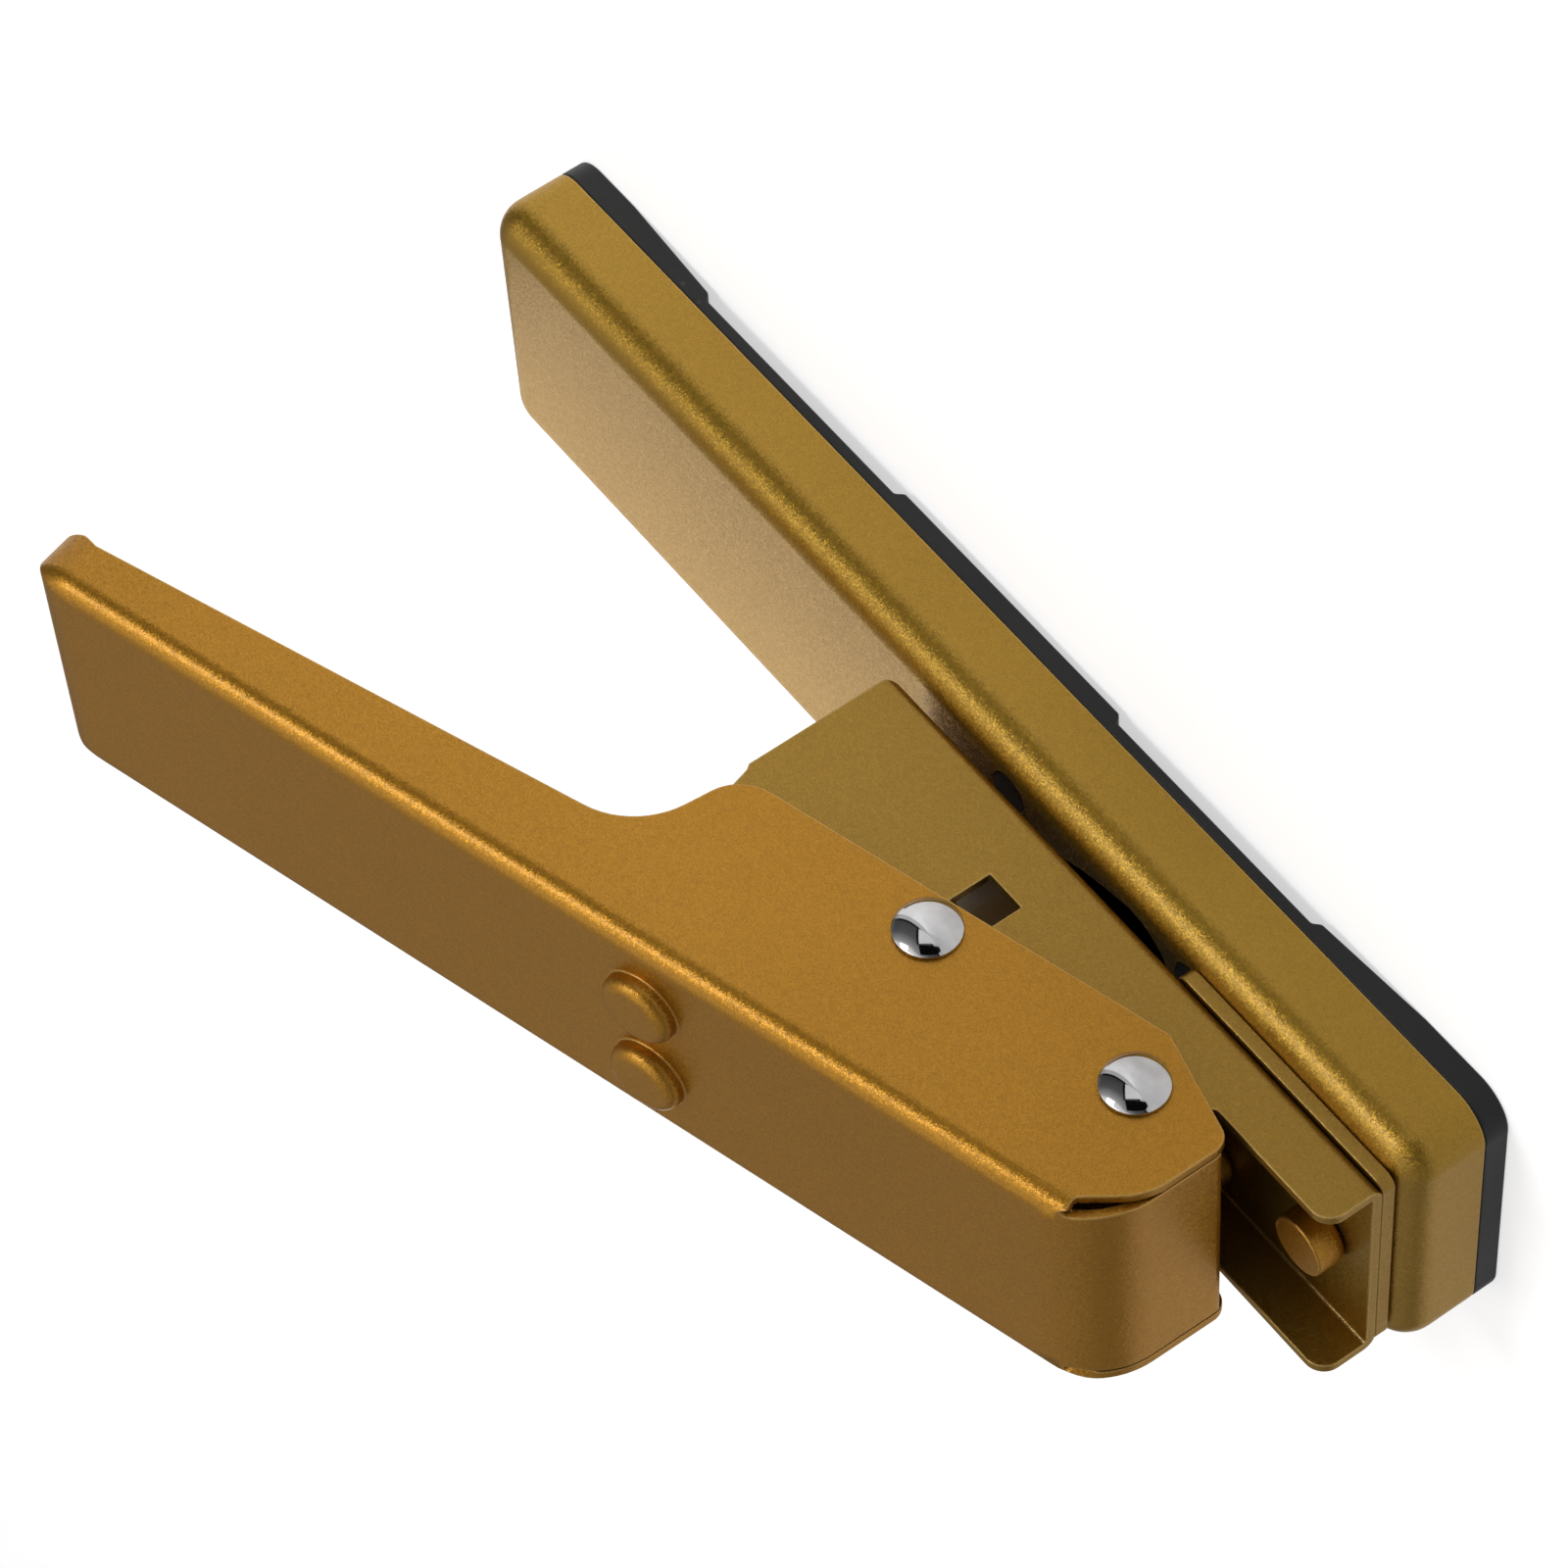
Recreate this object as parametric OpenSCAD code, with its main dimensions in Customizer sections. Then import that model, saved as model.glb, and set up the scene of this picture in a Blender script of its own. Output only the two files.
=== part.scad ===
// Plier-style guitar pick punch: a pressed handle drives a pick-shaped punch through a card in the throat.
// The nose points to -X, the top is +Z, and the origin lies under the middle of the base, on the table.

/* [Base tray] */
// Length of the base over its rounded ends
base_length = 160.4; // [158:0.2:170]
// Width of the base
base_width = 36.6; // [36:0.2:42]
// Height of the tray from its rim to its deck
tray_height = 9.9; // [9.7:0.1:16]
// Sheet of the tray
tray_sheet = 1.2; // [0.9:0.1:1.4]
// Corner radius of the tray seen from above
tray_corner_r = 4.6; // [4.4:0.1:8]
// Outer radius of the fold between deck and sides
tray_fold_r = 4.2; // [3:0.1:4.3]

/* [Base cover] */
// Drop of the end feet below the rim
foot_drop = 3.05; // [2.7:0.05:6]
// Drop of the middle foot below the rim
middle_foot_drop = 2.3; // [1.8:0.05:2.6]
// Drop of the thin stretches below the rim
skirt_drop = 1.4; // [1:0.1:1.6]
// Length of the foot at the nose
nose_foot_length = 29.2; // [22:0.2:34]
// Length of the foot at the rear
rear_foot_length = 27; // [20:0.2:34]
// Rise of the sole of an end foot at its inner end
sole_rise = 0.9; // [0.1:0.1:1.1]
// Length of the middle foot
middle_foot_length = 36.8; // [20:0.4:44]
// Height of the lip that plugs into the tray
lip_height = 3.6; // [2.5:0.1:4.5]
// Wall of the lip
lip_wall = 1.4; // [1:0.1:2]

/* [Frame] */
// Width over the frame walls
frame_width = 30; // [29.6:0.2:32]
// Length of the frame
frame_length = 80.5; // [78:0.5:86]
// Sheet of the frame
frame_sheet = 1.2; // [1:0.1:1.3]
// Distance from the nose of the base to the nose of the frame
frame_setback = 1.9; // [1:0.1:3]
// Outer radius of the frame fold
frame_fold_r = 1.5; // [1.4:0.1:2]
// Height of the low walls at the nose
nose_wall_height = 7.2; // [6:0.2:8]
// Rise of the frame walls above the pivot
wall_rise = 14.2; // [12:0.2:14.4]
// Width of the windows that the drive rivet runs in
window_width = 5.2; // [5:0.1:6.4]
// Height of the window sill above the underside of the frame
window_sill = 7.6; // [6.6:0.1:7.8]

/* [Throat] */
// Height of the throat that takes the card
throat_height = 1.7; // [1:0.1:2.2]
// Length of the plate that closes the front of the throat
throat_plate_length = 32.6; // [31:0.2:33.4]

/* [Pivot and drive] */
// Distance from the nose of the base to the pivot
pivot_setback = 25.7; // [25.1:0.1:26.3]
// Height of the pivot above the underside of the frame
pivot_height = 12.35; // [12:0.05:13]
// Shank of the pivot and drive rivets
shank_d = 3.5; // [3:0.1:4]
// Domed head of the rivets
dome_d = 7.8; // [7:0.1:9]
// Height of the domed heads
dome_height = 1.9; // [1.5:0.1:2.4]
// Outside of the sleeves on the rivets
sleeve_d = 6; // [5.4:0.1:6.6]
// Distance of the drive rivet from the pivot along the web
drive_along = 28; // [27.6:0.1:28.4]
// Distance of the drive rivet below the pivot, square to the web
drive_below = 2.8; // [2.4:0.1:3.2]
// Angle between handle and base at rest
open_angle = 15.9; // [15.5:0.1:17]
// Angle that the handle turns when squeezed
closing_angle = 15.5; // [12:0.1:15.5]

/* [Handle] */
// Sheet of the handle
handle_sheet = 1.2; // [1:0.1:1.4]
// Distance from the pivot to the rear end
handle_rear = 136.2; // [128:0.2:142]
// Height of the web above the pivot
web_height = 16.4; // [16.4:0.1:18]
// Drop of the front flange edge below the pivot
flange_drop = 7; // [6:0.1:7.6]
// Reach of the nose in front of the pivot, before its lower corner is rounded
nose_reach = 11.5; // [11.2:0.1:12.6]
// Radius of the bend that leads from the web down to the nose
nose_curve_r = 10.2; // [9.6:0.1:10.8]
// Fold radius between web and flanges
handle_fold_r = 2.5; // [2:0.1:2.8]
// Corner radius of the rear end seen from above
handle_corner_r = 7; // [4:0.1:8]
// Fold radius at the rear end
rear_fold_r = 6.6; // [3:0.1:7]
// Height of the rear flange, from its edge to the web
rear_flange_height = 6.6; // [6.2:0.1:8]
// Distance from the pivot to the foot of the saddle
saddle_along = 55.3; // [54.8:0.1:60]
// Diameter of the two dimples
dimple_d = 9.5; // [9.4:0.1:10.4]
// Height of the dimples above the web
dimple_height = 2.1; // [1.6:0.1:2.4]
// Distance of the dimples from the pivot along the web
dimple_along = 50.6; // [49.6:0.1:52]
// Distance between the two dimples
dimple_spacing = 12.8; // [12:0.1:14]

/* [Springs] */
// Outside diameter of the return springs
spring_d = 7.4; // [6.4:0.1:7.6]
// Wire of the springs
wire_d = 0.9; // [0.7:0.05:1.1]
// Turns of each spring
spring_turns = 10.5; // [8:0.5:12]

/* [Punch and die] */
// Width of the pick
pick_width = 26; // [22:0.2:26]
// Height of the punch
punch_height = 11; // [10.8:0.1:12]
// Height of the punch above the throat at rest
punch_lift = 0.35; // [0.1:0.05:1]
// Sheet of the punch carrier
carrier_sheet = 1.2; // [1:0.1:1.5]
// Length of the punch carrier
carrier_length = 20; // [20:0.2:21]
// Thickness of the die plate
die_thickness = 3; // [2.8:0.1:3.4]
// Length of the die plate
die_length = 40; // [39:0.2:41]

/* [Rivets and screws] */
// Shank of the rivets that join frame, throat plate and tray
frame_rivet_d = 3.2; // [2.6:0.1:3.6]
// Head of the nose rivet
nose_head_d = 7.2; // [6:0.1:7.8]
// Height of the nose rivet head
nose_head_height = 3.8; // [2.6:0.1:4.4]
// Diameter of the die screws
screw_d = 2.5; // [2:0.1:3]
// Countersunk head of the die screws
screw_head_d = 5; // [4.4:0.1:5.4]

/* [Hidden] */
$fn = 64;

// Overrun of every cut past the face that it leaves
overrun = 1;
// Radial clearance of a rivet in a hole
rivet_fit = 0.05;
// Clearance between flat faces that turn on each other
face_fit = 0.05;
// Clearance of the lip inside the tray
lip_fit = 0.12;
// Clearance between punch and die, all round
die_fit = 0.06;
// Gap between handle flange and frame wall
flange_gap = 0.3;
// Gap between punch carrier and frame wall
carrier_gap = 0.3;
// Gap between die plate and tray side
die_side_gap = 0.4;

// Levels above the table
rim_z = foot_drop;
deck_z = rim_z + tray_height;
frame_z = deck_z + throat_height;
floor_z = frame_z + frame_sheet;
pivot_z = frame_z + pivot_height;
wall_top_z = pivot_z + wall_rise;

// Places along the base
frame_front = -base_length / 2 + frame_setback;
frame_rear = frame_front + frame_length;
pivot_x = -base_length / 2 + pivot_setback;

// Half widths across the mechanism
frame_half = frame_width / 2;
frame_inner_half = frame_half - frame_sheet;
handle_inner_half = frame_half + flange_gap;
handle_half = handle_inner_half + handle_sheet;
carrier_half = frame_inner_half - carrier_gap;
carrier_inner_half = carrier_half - carrier_sheet;

// Place of the drive rivet, for the angle of the handle above the base
function drive_place(angle) = [
  drive_along * cos(angle) + drive_below * sin(angle),
  drive_along * sin(angle) - drive_below * cos(angle)
];
drive_rest = drive_place(open_angle);
drive_end = drive_place(open_angle - closing_angle);
drive_x = pivot_x + drive_rest.x;
drive_z = pivot_z + drive_rest.y;
drive_travel = norm([drive_along, drive_below]) - drive_rest.x;
stroke = drive_rest.y - drive_end.y;

// Punch carrier
punch_z = frame_z + punch_lift;
carrier_z = punch_z + punch_height;
carrier_mid_x = pivot_x + norm([drive_along, drive_below]) - drive_travel / 2;
ear_length = 12;
ear_above_drive = 5;
ear_corner_r = 3;
carrier_fold_r = 1.8;
carrier_rivet_d = 3;
carrier_rivet_head_d = 4.8;
carrier_rivet_head_height = 1.3;
carrier_rivet_depth = 7;
carrier_rivet_offset = 6.6;

// Pick outline: radii as shares of the tip-to-back unit, and the angles where one curve hands over
tip_r_share = 0.26;
shoulder_r_share = 0.5;
back_r_share = 2.6;
tip_angle = 46;
side_angle = 80;
back_angle = 165;
arc_step = 6;
// Distance from the rear end of the throat plate to the back of the pick
pick_margin = 2.6;

// Saddle and rear end of the handle flange
saddle_rise = 5.1;
saddle_lean = 4.7;
saddle_inner_r = 9.8;
saddle_outer_r = 5.5;
nose_corner_along = 0.7;
nose_corner_r = 2.2;
flange_corner_r = 0.8;
nose_curve_along = 1;
nose_slope = 29.3;
ear_start = 6.3;
ear_end = 4;
ear_drop = 0.7;
ear_r = 1.5;
slit_width = 0.3;
slit_start = 2.6;
relief_r = 0.7;
// Front edge of the flange beside the tongue: where it starts and turns, below the web, and its way from there
setback_start = 2.3;
setback_along = 7.9;
setback_depth = 6.1;
setback_r = 7;
setback_run = [1.5, 2.9];
dimple_wall = 0.75;
dimple_edge_r = 1.3;

// Frame outline
wall_corner_r = 3;
nose_wall_r = 2.4;
rear_corner_r = 1.7;
shoulder_reach = 6.2;
shoulder_rise = 4;
shoulder_foot = 7;
shoulder_top = 2;
rear_notch = 0.45;
rear_notch_height = 0.6;
rear_slope_rise = 7.05;
rear_slope_reach = 2.5;
window_head = 0.4;
window_offset = 0.42;

// Springs
spring_seat_x = pivot_x + dimple_along - 3.1;
spring_gap = 0.3;
spring_boss_height = 1.3;
spring_boss_gap = 0.4;
rings_per_turn = 8;
wire_sides = 6;

// Throat plate and base cover
plate_corner_r = 1.5;
foot_ramp = 0.8;
sole_slope = 16;
pocket_wall = 2.4;
pocket_floor = 1.8;

// Rivets and screws
nose_rivet_reach = 6.9;
frame_rivet_reach = 24.3;
frame_rivet_spacing = 16;
set_head_d = 6;
set_head_height = 1.2;
frame_head_height = 1.8;
nose_head_edge_r = 1.2;
frame_head_edge_r = 0.8;
screw_head_height = 1.1;
screw_reach = 2.6;
screw_rear_reach = 6;
screw_spacing = 22.4;

// Directions and arcs
function unit(v) = v / norm(v);
function direction(angle) = [cos(angle), sin(angle)];
function arc(centre, r, from, to) =
  let (steps = max(2, ceil(abs(to - from) / arc_step)))
  [for (i = [0:steps]) centre + r * direction(from + (to - from) * i / steps)];

// One corner of an outline, rounded to radius r
function corner(before, here, after, r) =
  r == 0 ? [here] :
  let (
    u = unit(before - here),
    v = unit(after - here),
    half = acos(u * v) / 2,
    centre = here + unit(u + v) * r / sin(half),
    first = here + u * r / tan(half) - centre,
    last = here + v * r / tan(half) - centre,
    from = atan2(first.y, first.x),
    turn = atan2(first.x * last.y - first.y * last.x, first * last)
  )
  arc(centre, r, from, from + turn);

// Outline through points of the form [x, y, radius]
function rounded(points) =
  let (
    n = len(points),
    xy = [for (p = points) [p[0], p[1]]]
  )
  [for (i = [0:n - 1]) each corner(xy[(i + n - 1) % n], xy[i], xy[(i + 1) % n], points[i][2])];

// Extrudes a side view across the part
module across(width) {
  rotate([90, 0, 0]) linear_extrude(width, center = true) children();
}

// Extrudes a front view along the part
module along(length) {
  rotate([90, 0, 90]) linear_extrude(length, center = true) children();
}

// Rectangle with round corners
module round_plan(length, width, r) {
  square([length - 2 * r, width], center = true);
  square([length, width - 2 * r], center = true);
  for (x = [-1, 1], y = [-1, 1]) {
    translate([x * (length / 2 - r), y * (width / 2 - r)]) circle(r);
  }
}

// Front view of a drawn block, with its top face at zero
module drawn_profile(width, height, r) {
  translate([-width / 2 + r, -height]) square([width - 2 * r, height]);
  translate([-width / 2, -height]) square([width, height - r]);
  for (x = [-1, 1]) {
    translate([x * (width / 2 - r), -r]) circle(r);
  }
}

// Block as drawn from sheet: round corners in plan and a round upper edge, top face at zero
module drawn_block(length, width, height, corner_r, fold_r) {
  along(length - 2 * corner_r) drawn_profile(width, height, fold_r);
  across(width - 2 * corner_r) drawn_profile(length, height, fold_r);
  for (x = [-1, 1], y = [-1, 1]) {
    translate([x * (length / 2 - corner_r), y * (width / 2 - corner_r), 0]) {
      rotate_extrude() intersection() {
        drawn_profile(2 * corner_r, height, fold_r);
        translate([0, -height]) square([corner_r, height]);
      }
    }
  }
}

// Pick outline, grown all round; each curve starts where the last one ends, square to the same direction
side_r_share =
  (
    tip_r_share * sin(tip_angle) - shoulder_r_share * sin(side_angle)
    + (shoulder_r_share - back_r_share) * sin(back_angle)
  )
  / (sin(tip_angle) - sin(side_angle));
side_centre = (tip_r_share - side_r_share) * direction(tip_angle);
shoulder_centre = side_centre + (side_r_share - shoulder_r_share) * direction(side_angle);
back_centre = shoulder_centre + (shoulder_r_share - back_r_share) * direction(back_angle);
pick_unit = pick_width / 2 / (shoulder_centre.y + shoulder_r_share);
pick_length = pick_unit * (tip_r_share + back_r_share - back_centre.x);
pick_back_x = frame_front + throat_plate_length + pick_margin;
pick_tip_x = pick_back_x + pick_length;

function mirrored(points) = [for (i = [len(points) - 1:-1:0]) [points[i].x, -points[i].y]];
function pick_points(grow) =
  let (
    half = concat(
      arc([0, 0], pick_unit * tip_r_share + grow, 0, tip_angle),
      arc(pick_unit * side_centre, pick_unit * side_r_share + grow, tip_angle, side_angle),
      arc(pick_unit * shoulder_centre, pick_unit * shoulder_r_share + grow, side_angle, back_angle),
      arc(pick_unit * back_centre, pick_unit * back_r_share + grow, back_angle, 180)
    ),
    inner = [for (i = [1:len(half) - 2]) half[i]]
  )
  concat(half, mirrored(inner));

module pick_prism(grow, low, high) {
  translate([pick_tip_x - pick_unit * tip_r_share, 0, low]) {
    linear_extrude(high - low) polygon(pick_points(grow));
  }
}

// Round bar across the part at a place in the side view
module bar(r, half_length) {
  rotate([90, 0, 0]) cylinder(r = r, h = 2 * half_length, center = true);
}

// Tube across the part
module tube(outer_r, inner_r, half_length) {
  difference() {
    bar(outer_r, half_length);
    bar(inner_r, half_length + overrun);
  }
}

// Domed head on +Z, its flat face at zero
module dome(d, height) {
  ball_r = (d * d / 4 + height * height) / (2 * height);
  rotate_extrude() intersection() {
    translate([0, height - ball_r]) circle(ball_r, $fn = 180);
    square([d, height]);
  }
}

module at_pivot() {
  translate([pivot_x, 0, pivot_z]) children();
}

module at_drive() {
  translate([drive_x, 0, drive_z]) children();
}

// Handle space: origin at the pivot, X along the web to the rear
module handle_space() {
  at_pivot() rotate([0, -open_angle, 0]) children();
}

// Post of a two-part rivet: domed head on the near side and a shank that ends inside the cap
module rivet_post() {
  seat = handle_half + face_fit;
  translate([0, -seat, 0]) rotate([90, 0, 0]) dome(dome_d, dome_height);
  tip = seat + dome_height / 2;
  translate([0, tip, 0]) rotate([90, 0, 0]) cylinder(d = shank_d, h = tip + seat);
}

// Domed cap on the far side, with a blind socket for the post
module rivet_cap() {
  seat = handle_half + face_fit;
  difference() {
    translate([0, seat, 0]) rotate([-90, 0, 0]) dome(dome_d, dome_height);
    translate([0, seat - overrun, 0]) rotate([-90, 0, 0]) {
      cylinder(d = shank_d + 2 * rivet_fit, h = overrun + dome_height / 2 + rivet_fit);
    }
  }
}

// Places of the rivets through frame, throat plate and deck
nose_rivet_x = frame_front + nose_rivet_reach;
frame_rivet_x = frame_front + frame_rivet_reach;
rivet_places = [
  [nose_rivet_x, 0],
  [frame_rivet_x, -frame_rivet_spacing / 2],
  [frame_rivet_x, frame_rivet_spacing / 2]
];

module rivet_holes(low, high) {
  for (place = rivet_places) {
    translate([place.x, place.y, low]) {
      cylinder(d = frame_rivet_d + 2 * rivet_fit, h = high - low);
    }
  }
}

// Die plate and its screws
die_top_z = deck_z - tray_sheet;
die_front = pick_back_x - screw_reach - screw_head_d / 2 - overrun;
die_mid_x = die_front + die_length / 2;
screw_front_x = pick_back_x - screw_reach;
screw_rear_x = die_front + die_length - screw_rear_reach;
screw_places = [for (x = [screw_front_x, screw_rear_x], y = [-1, 1]) [x, y * screw_spacing / 2]];

module screw_shape(grow, low) {
  cylinder(d = screw_d + 2 * grow, h = deck_z - low);
}

module screw_head(grow) {
  translate([0, 0, -screw_head_height - grow]) {
    cylinder(d1 = screw_d + 2 * grow, d2 = screw_head_d + 2 * grow, h = screw_head_height + grow);
  }
}

// Drawn steel tray of the base
module base_tray() {
  color([0.64, 0.5, 0.24]) difference() {
    translate([0, 0, deck_z]) {
      drawn_block(base_length, base_width, tray_height, tray_corner_r, tray_fold_r);
    }
    translate([0, 0, deck_z - tray_sheet]) {
      drawn_block(
        base_length - 2 * tray_sheet, base_width - 2 * tray_sheet, tray_height + overrun,
        tray_corner_r - tray_sheet, tray_fold_r - tray_sheet
      );
    }
    pick_prism(die_fit, rim_z, deck_z + overrun);
    rivet_holes(rim_z, deck_z + overrun);
    for (place = screw_places) {
      translate([place.x, place.y, rim_z]) screw_shape(rivet_fit, rim_z - overrun);
      translate([place.x, place.y, deck_z]) screw_head(rivet_fit);
    }
  }
}

// Side view of the cover below the rim, with its end feet and middle foot
module cover_side() {
  end = base_length / 2;
  nose_foot = nose_foot_length - end;
  rear_foot = end - rear_foot_length;
  middle = middle_foot_length / 2;
  skirt_z = rim_z - skirt_drop;
  middle_z = rim_z - middle_foot_drop;
  polygon([
    [-end, rim_z], [-end, 0],
    [nose_foot - sole_slope, 0], [nose_foot - foot_ramp, sole_rise], [nose_foot, skirt_z],
    [-middle - foot_ramp, skirt_z], [-middle, middle_z], [middle, middle_z], [middle + foot_ramp, skirt_z],
    [rear_foot, skirt_z], [rear_foot + foot_ramp, sole_rise], [rear_foot + sole_slope, 0],
    [end, 0], [end, rim_z]
  ]);
}

// Moulded cover that closes the tray and carries the feet
module base_cover() {
  lip_length = base_length - 2 * tray_sheet - 2 * lip_fit;
  lip_width = base_width - 2 * tray_sheet - 2 * lip_fit;
  lip_r = tray_corner_r - tray_sheet - lip_fit;
  pocket = rear_foot_length - 2 * pocket_wall;
  color([0.17, 0.17, 0.18]) {
    difference() {
      intersection() {
        across(base_width) cover_side();
        linear_extrude(rim_z) round_plan(base_length, base_width, tray_corner_r);
      }
      for (side = [-1, 1]) {
        translate([side * (base_length / 2 - rear_foot_length / 2), 0, pocket_floor]) {
          linear_extrude(rim_z) square([pocket, base_width - 4 * pocket_wall], center = true);
        }
      }
    }
    translate([0, 0, rim_z]) linear_extrude(lip_height) difference() {
      round_plan(lip_length, lip_width, lip_r);
      round_plan(lip_length - 2 * lip_wall, lip_width - 2 * lip_wall, lip_r - lip_wall);
    }
  }
}

// Plate between frame and deck that sets the height of the throat
module throat_plate() {
  color([0.66, 0.52, 0.25]) difference() {
    translate([frame_front + throat_plate_length / 2, 0, deck_z]) {
      linear_extrude(throat_height) round_plan(throat_plate_length, frame_width, plate_corner_r);
    }
    rivet_holes(deck_z - overrun, frame_z + overrun);
  }
}

// Side view of a frame wall
function frame_outline() = rounded([
  [frame_front, frame_z, 0],
  [frame_rear, frame_z, rear_corner_r],
  [frame_rear, pivot_z + rear_slope_rise - rear_notch_height, 0],
  [frame_rear - rear_notch, pivot_z + rear_slope_rise, 0],
  [frame_rear - rear_slope_reach, wall_top_z, wall_corner_r],
  [pivot_x - shoulder_top, wall_top_z, wall_corner_r],
  [pivot_x - shoulder_reach, pivot_z + shoulder_rise, wall_corner_r],
  [pivot_x - shoulder_foot, frame_z + nose_wall_height, nose_wall_r],
  [frame_front, frame_z + nose_wall_height, nose_wall_r]
]);

// Front view of the frame channel, its underside at zero
module channel_profile(half, sheet, fold_r, height) {
  mirror([0, 1]) difference() {
    drawn_profile(2 * half, height, fold_r);
    translate([0, -sheet]) drawn_profile(2 * (half - sheet), height, fold_r - sheet);
  }
}

// Windows in the frame walls that the drive rivet runs down
module frame_windows() {
  low = frame_z + window_sill;
  high = drive_z + shank_d / 2 + window_head;
  x = carrier_mid_x - window_offset;
  translate([x - window_width / 2, -frame_half - overrun, low]) {
    cube([window_width, frame_width + 2 * overrun, high - low]);
  }
}

// Pressed channel that carries the pivot and guides the punch
module frame() {
  boss_r = spring_d / 2 - wire_d - spring_boss_gap;
  color([0.62, 0.49, 0.23]) {
    difference() {
      intersection() {
        across(frame_width) polygon(frame_outline());
        translate([frame_front + frame_length / 2, 0, frame_z]) {
          along(frame_length) channel_profile(frame_half, frame_sheet, frame_fold_r, wall_top_z - frame_z);
        }
      }
      at_pivot() bar(shank_d / 2 + rivet_fit, frame_half + overrun);
      frame_windows();
      pick_prism(die_fit, frame_z - overrun, floor_z + overrun);
      rivet_holes(frame_z - overrun, floor_z + overrun);
    }
    for (side = [-1, 1]) {
      translate([spring_seat_x, side * dimple_spacing / 2, floor_z]) {
        cylinder(r1 = boss_r, r2 = boss_r - spring_boss_gap, h = spring_boss_height);
      }
    }
  }
}

// Rivet from the frame floor through to the underside of the deck
module floor_rivet(head_d, head_height, edge_r) {
  below = deck_z - tray_sheet;
  translate([0, 0, below - set_head_height]) cylinder(d = set_head_d, h = set_head_height);
  translate([0, 0, below]) cylinder(d = frame_rivet_d, h = floor_z - below);
  translate([0, 0, floor_z]) rotate_extrude() {
    square([head_d / 2 - edge_r, head_height]);
    translate([0, edge_r]) square([head_d / 2, head_height - edge_r]);
    translate([head_d / 2 - edge_r, edge_r]) circle(edge_r);
  }
}

// Rivet at the nose, seen between the low walls
module nose_rivet() {
  color([0.62, 0.46, 0.2]) translate([nose_rivet_x, 0, 0]) {
    floor_rivet(nose_head_d, nose_head_height, nose_head_edge_r);
  }
}

// Two rivets at the rear of the throat plate, under the handle
module frame_rivets() {
  color([0.62, 0.46, 0.2]) for (place = [rivet_places[1], rivet_places[2]]) {
    translate([place.x, place.y, 0]) floor_rivet(set_head_d, frame_head_height, frame_head_edge_r);
  }
}

// Hardened die under the deck, with the pick-shaped cutting hole
module die_plate() {
  half = base_width / 2 - tray_sheet - die_side_gap;
  chamfer = tray_fold_r - tray_sheet - die_side_gap;
  color([0.55, 0.56, 0.58]) difference() {
    translate([die_mid_x, 0, die_top_z]) along(die_length) {
      polygon([
        [-half, -die_thickness], [half, -die_thickness], [half, -chamfer], [half - chamfer, 0],
        [chamfer - half, 0], [-half, -chamfer]
      ]);
    }
    pick_prism(die_fit, rim_z, deck_z);
    for (place = screw_places) {
      translate([place.x, place.y, rim_z]) screw_shape(rivet_fit, rim_z);
    }
  }
}

// Four countersunk screws that hold the die
module die_screws() {
  low = die_top_z - die_thickness;
  color([0.4, 0.4, 0.42]) for (place = screw_places) {
    translate([place.x, place.y, low]) screw_shape(0, low);
    translate([place.x, place.y, deck_z]) screw_head(0);
  }
}

module carrier_rivet_places() {
  for (side = [-1, 1]) {
    translate([carrier_mid_x + side * carrier_rivet_offset, 0, carrier_z]) children();
  }
}

// Pick-shaped steel punch
module punch() {
  color([0.7, 0.71, 0.73]) difference() {
    pick_prism(0, punch_z, carrier_z);
    carrier_rivet_places() translate([0, 0, -carrier_rivet_depth - rivet_fit]) {
      cylinder(d = carrier_rivet_d + 2 * rivet_fit, h = carrier_rivet_depth + overrun);
    }
  }
}

// Folded bracket on the punch, with a slot in each ear for the drive rivet
module punch_carrier() {
  ear_top = drive_z + ear_above_drive;
  slot_half = drive_travel / 2 + rivet_fit;
  height = ear_top - carrier_z;
  color([0.58, 0.59, 0.6]) difference() {
    translate([carrier_mid_x, 0, carrier_z]) intersection() {
      along(carrier_length) channel_profile(carrier_half, carrier_sheet, carrier_fold_r, height);
      across(2 * carrier_half) polygon(rounded([
        [-carrier_length / 2, 0, 0],
        [carrier_length / 2, 0, 0],
        [carrier_length / 2, carrier_fold_r + carrier_sheet, 0],
        [ear_length / 2, carrier_fold_r + carrier_sheet, ear_corner_r],
        [ear_length / 2, height, ear_corner_r],
        [-ear_length / 2, height, ear_corner_r],
        [-ear_length / 2, carrier_fold_r + carrier_sheet, ear_corner_r],
        [-carrier_length / 2, carrier_fold_r + carrier_sheet, 0]
      ]));
    }
    translate([carrier_mid_x, 0, drive_z]) {
      across(2 * carrier_half + 2 * overrun) {
        square([2 * slot_half, shank_d + 2 * rivet_fit], center = true);
        for (side = [-1, 1]) {
          translate([side * slot_half, 0]) circle(d = shank_d + 2 * rivet_fit);
        }
      }
    }
    carrier_rivet_places() translate([0, 0, -overrun]) {
      cylinder(d = carrier_rivet_d + 2 * rivet_fit, h = carrier_sheet + 2 * overrun);
    }
  }
}

// Two rivets that hold the punch on its carrier
module carrier_rivets() {
  color([0.5, 0.5, 0.52]) carrier_rivet_places() {
    translate([0, 0, -carrier_rivet_depth]) {
      cylinder(d = carrier_rivet_d, h = carrier_rivet_depth + carrier_sheet);
    }
    translate([0, 0, carrier_sheet]) dome(carrier_rivet_head_d, carrier_rivet_head_height);
  }
}

// Rivet that the handle turns on
module pivot_post() {
  color([0.72, 0.72, 0.74]) at_pivot() rivet_post();
}

// Cap on the far end of the pivot rivet
module pivot_cap() {
  color([0.72, 0.72, 0.74]) at_pivot() rivet_cap();
}

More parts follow.
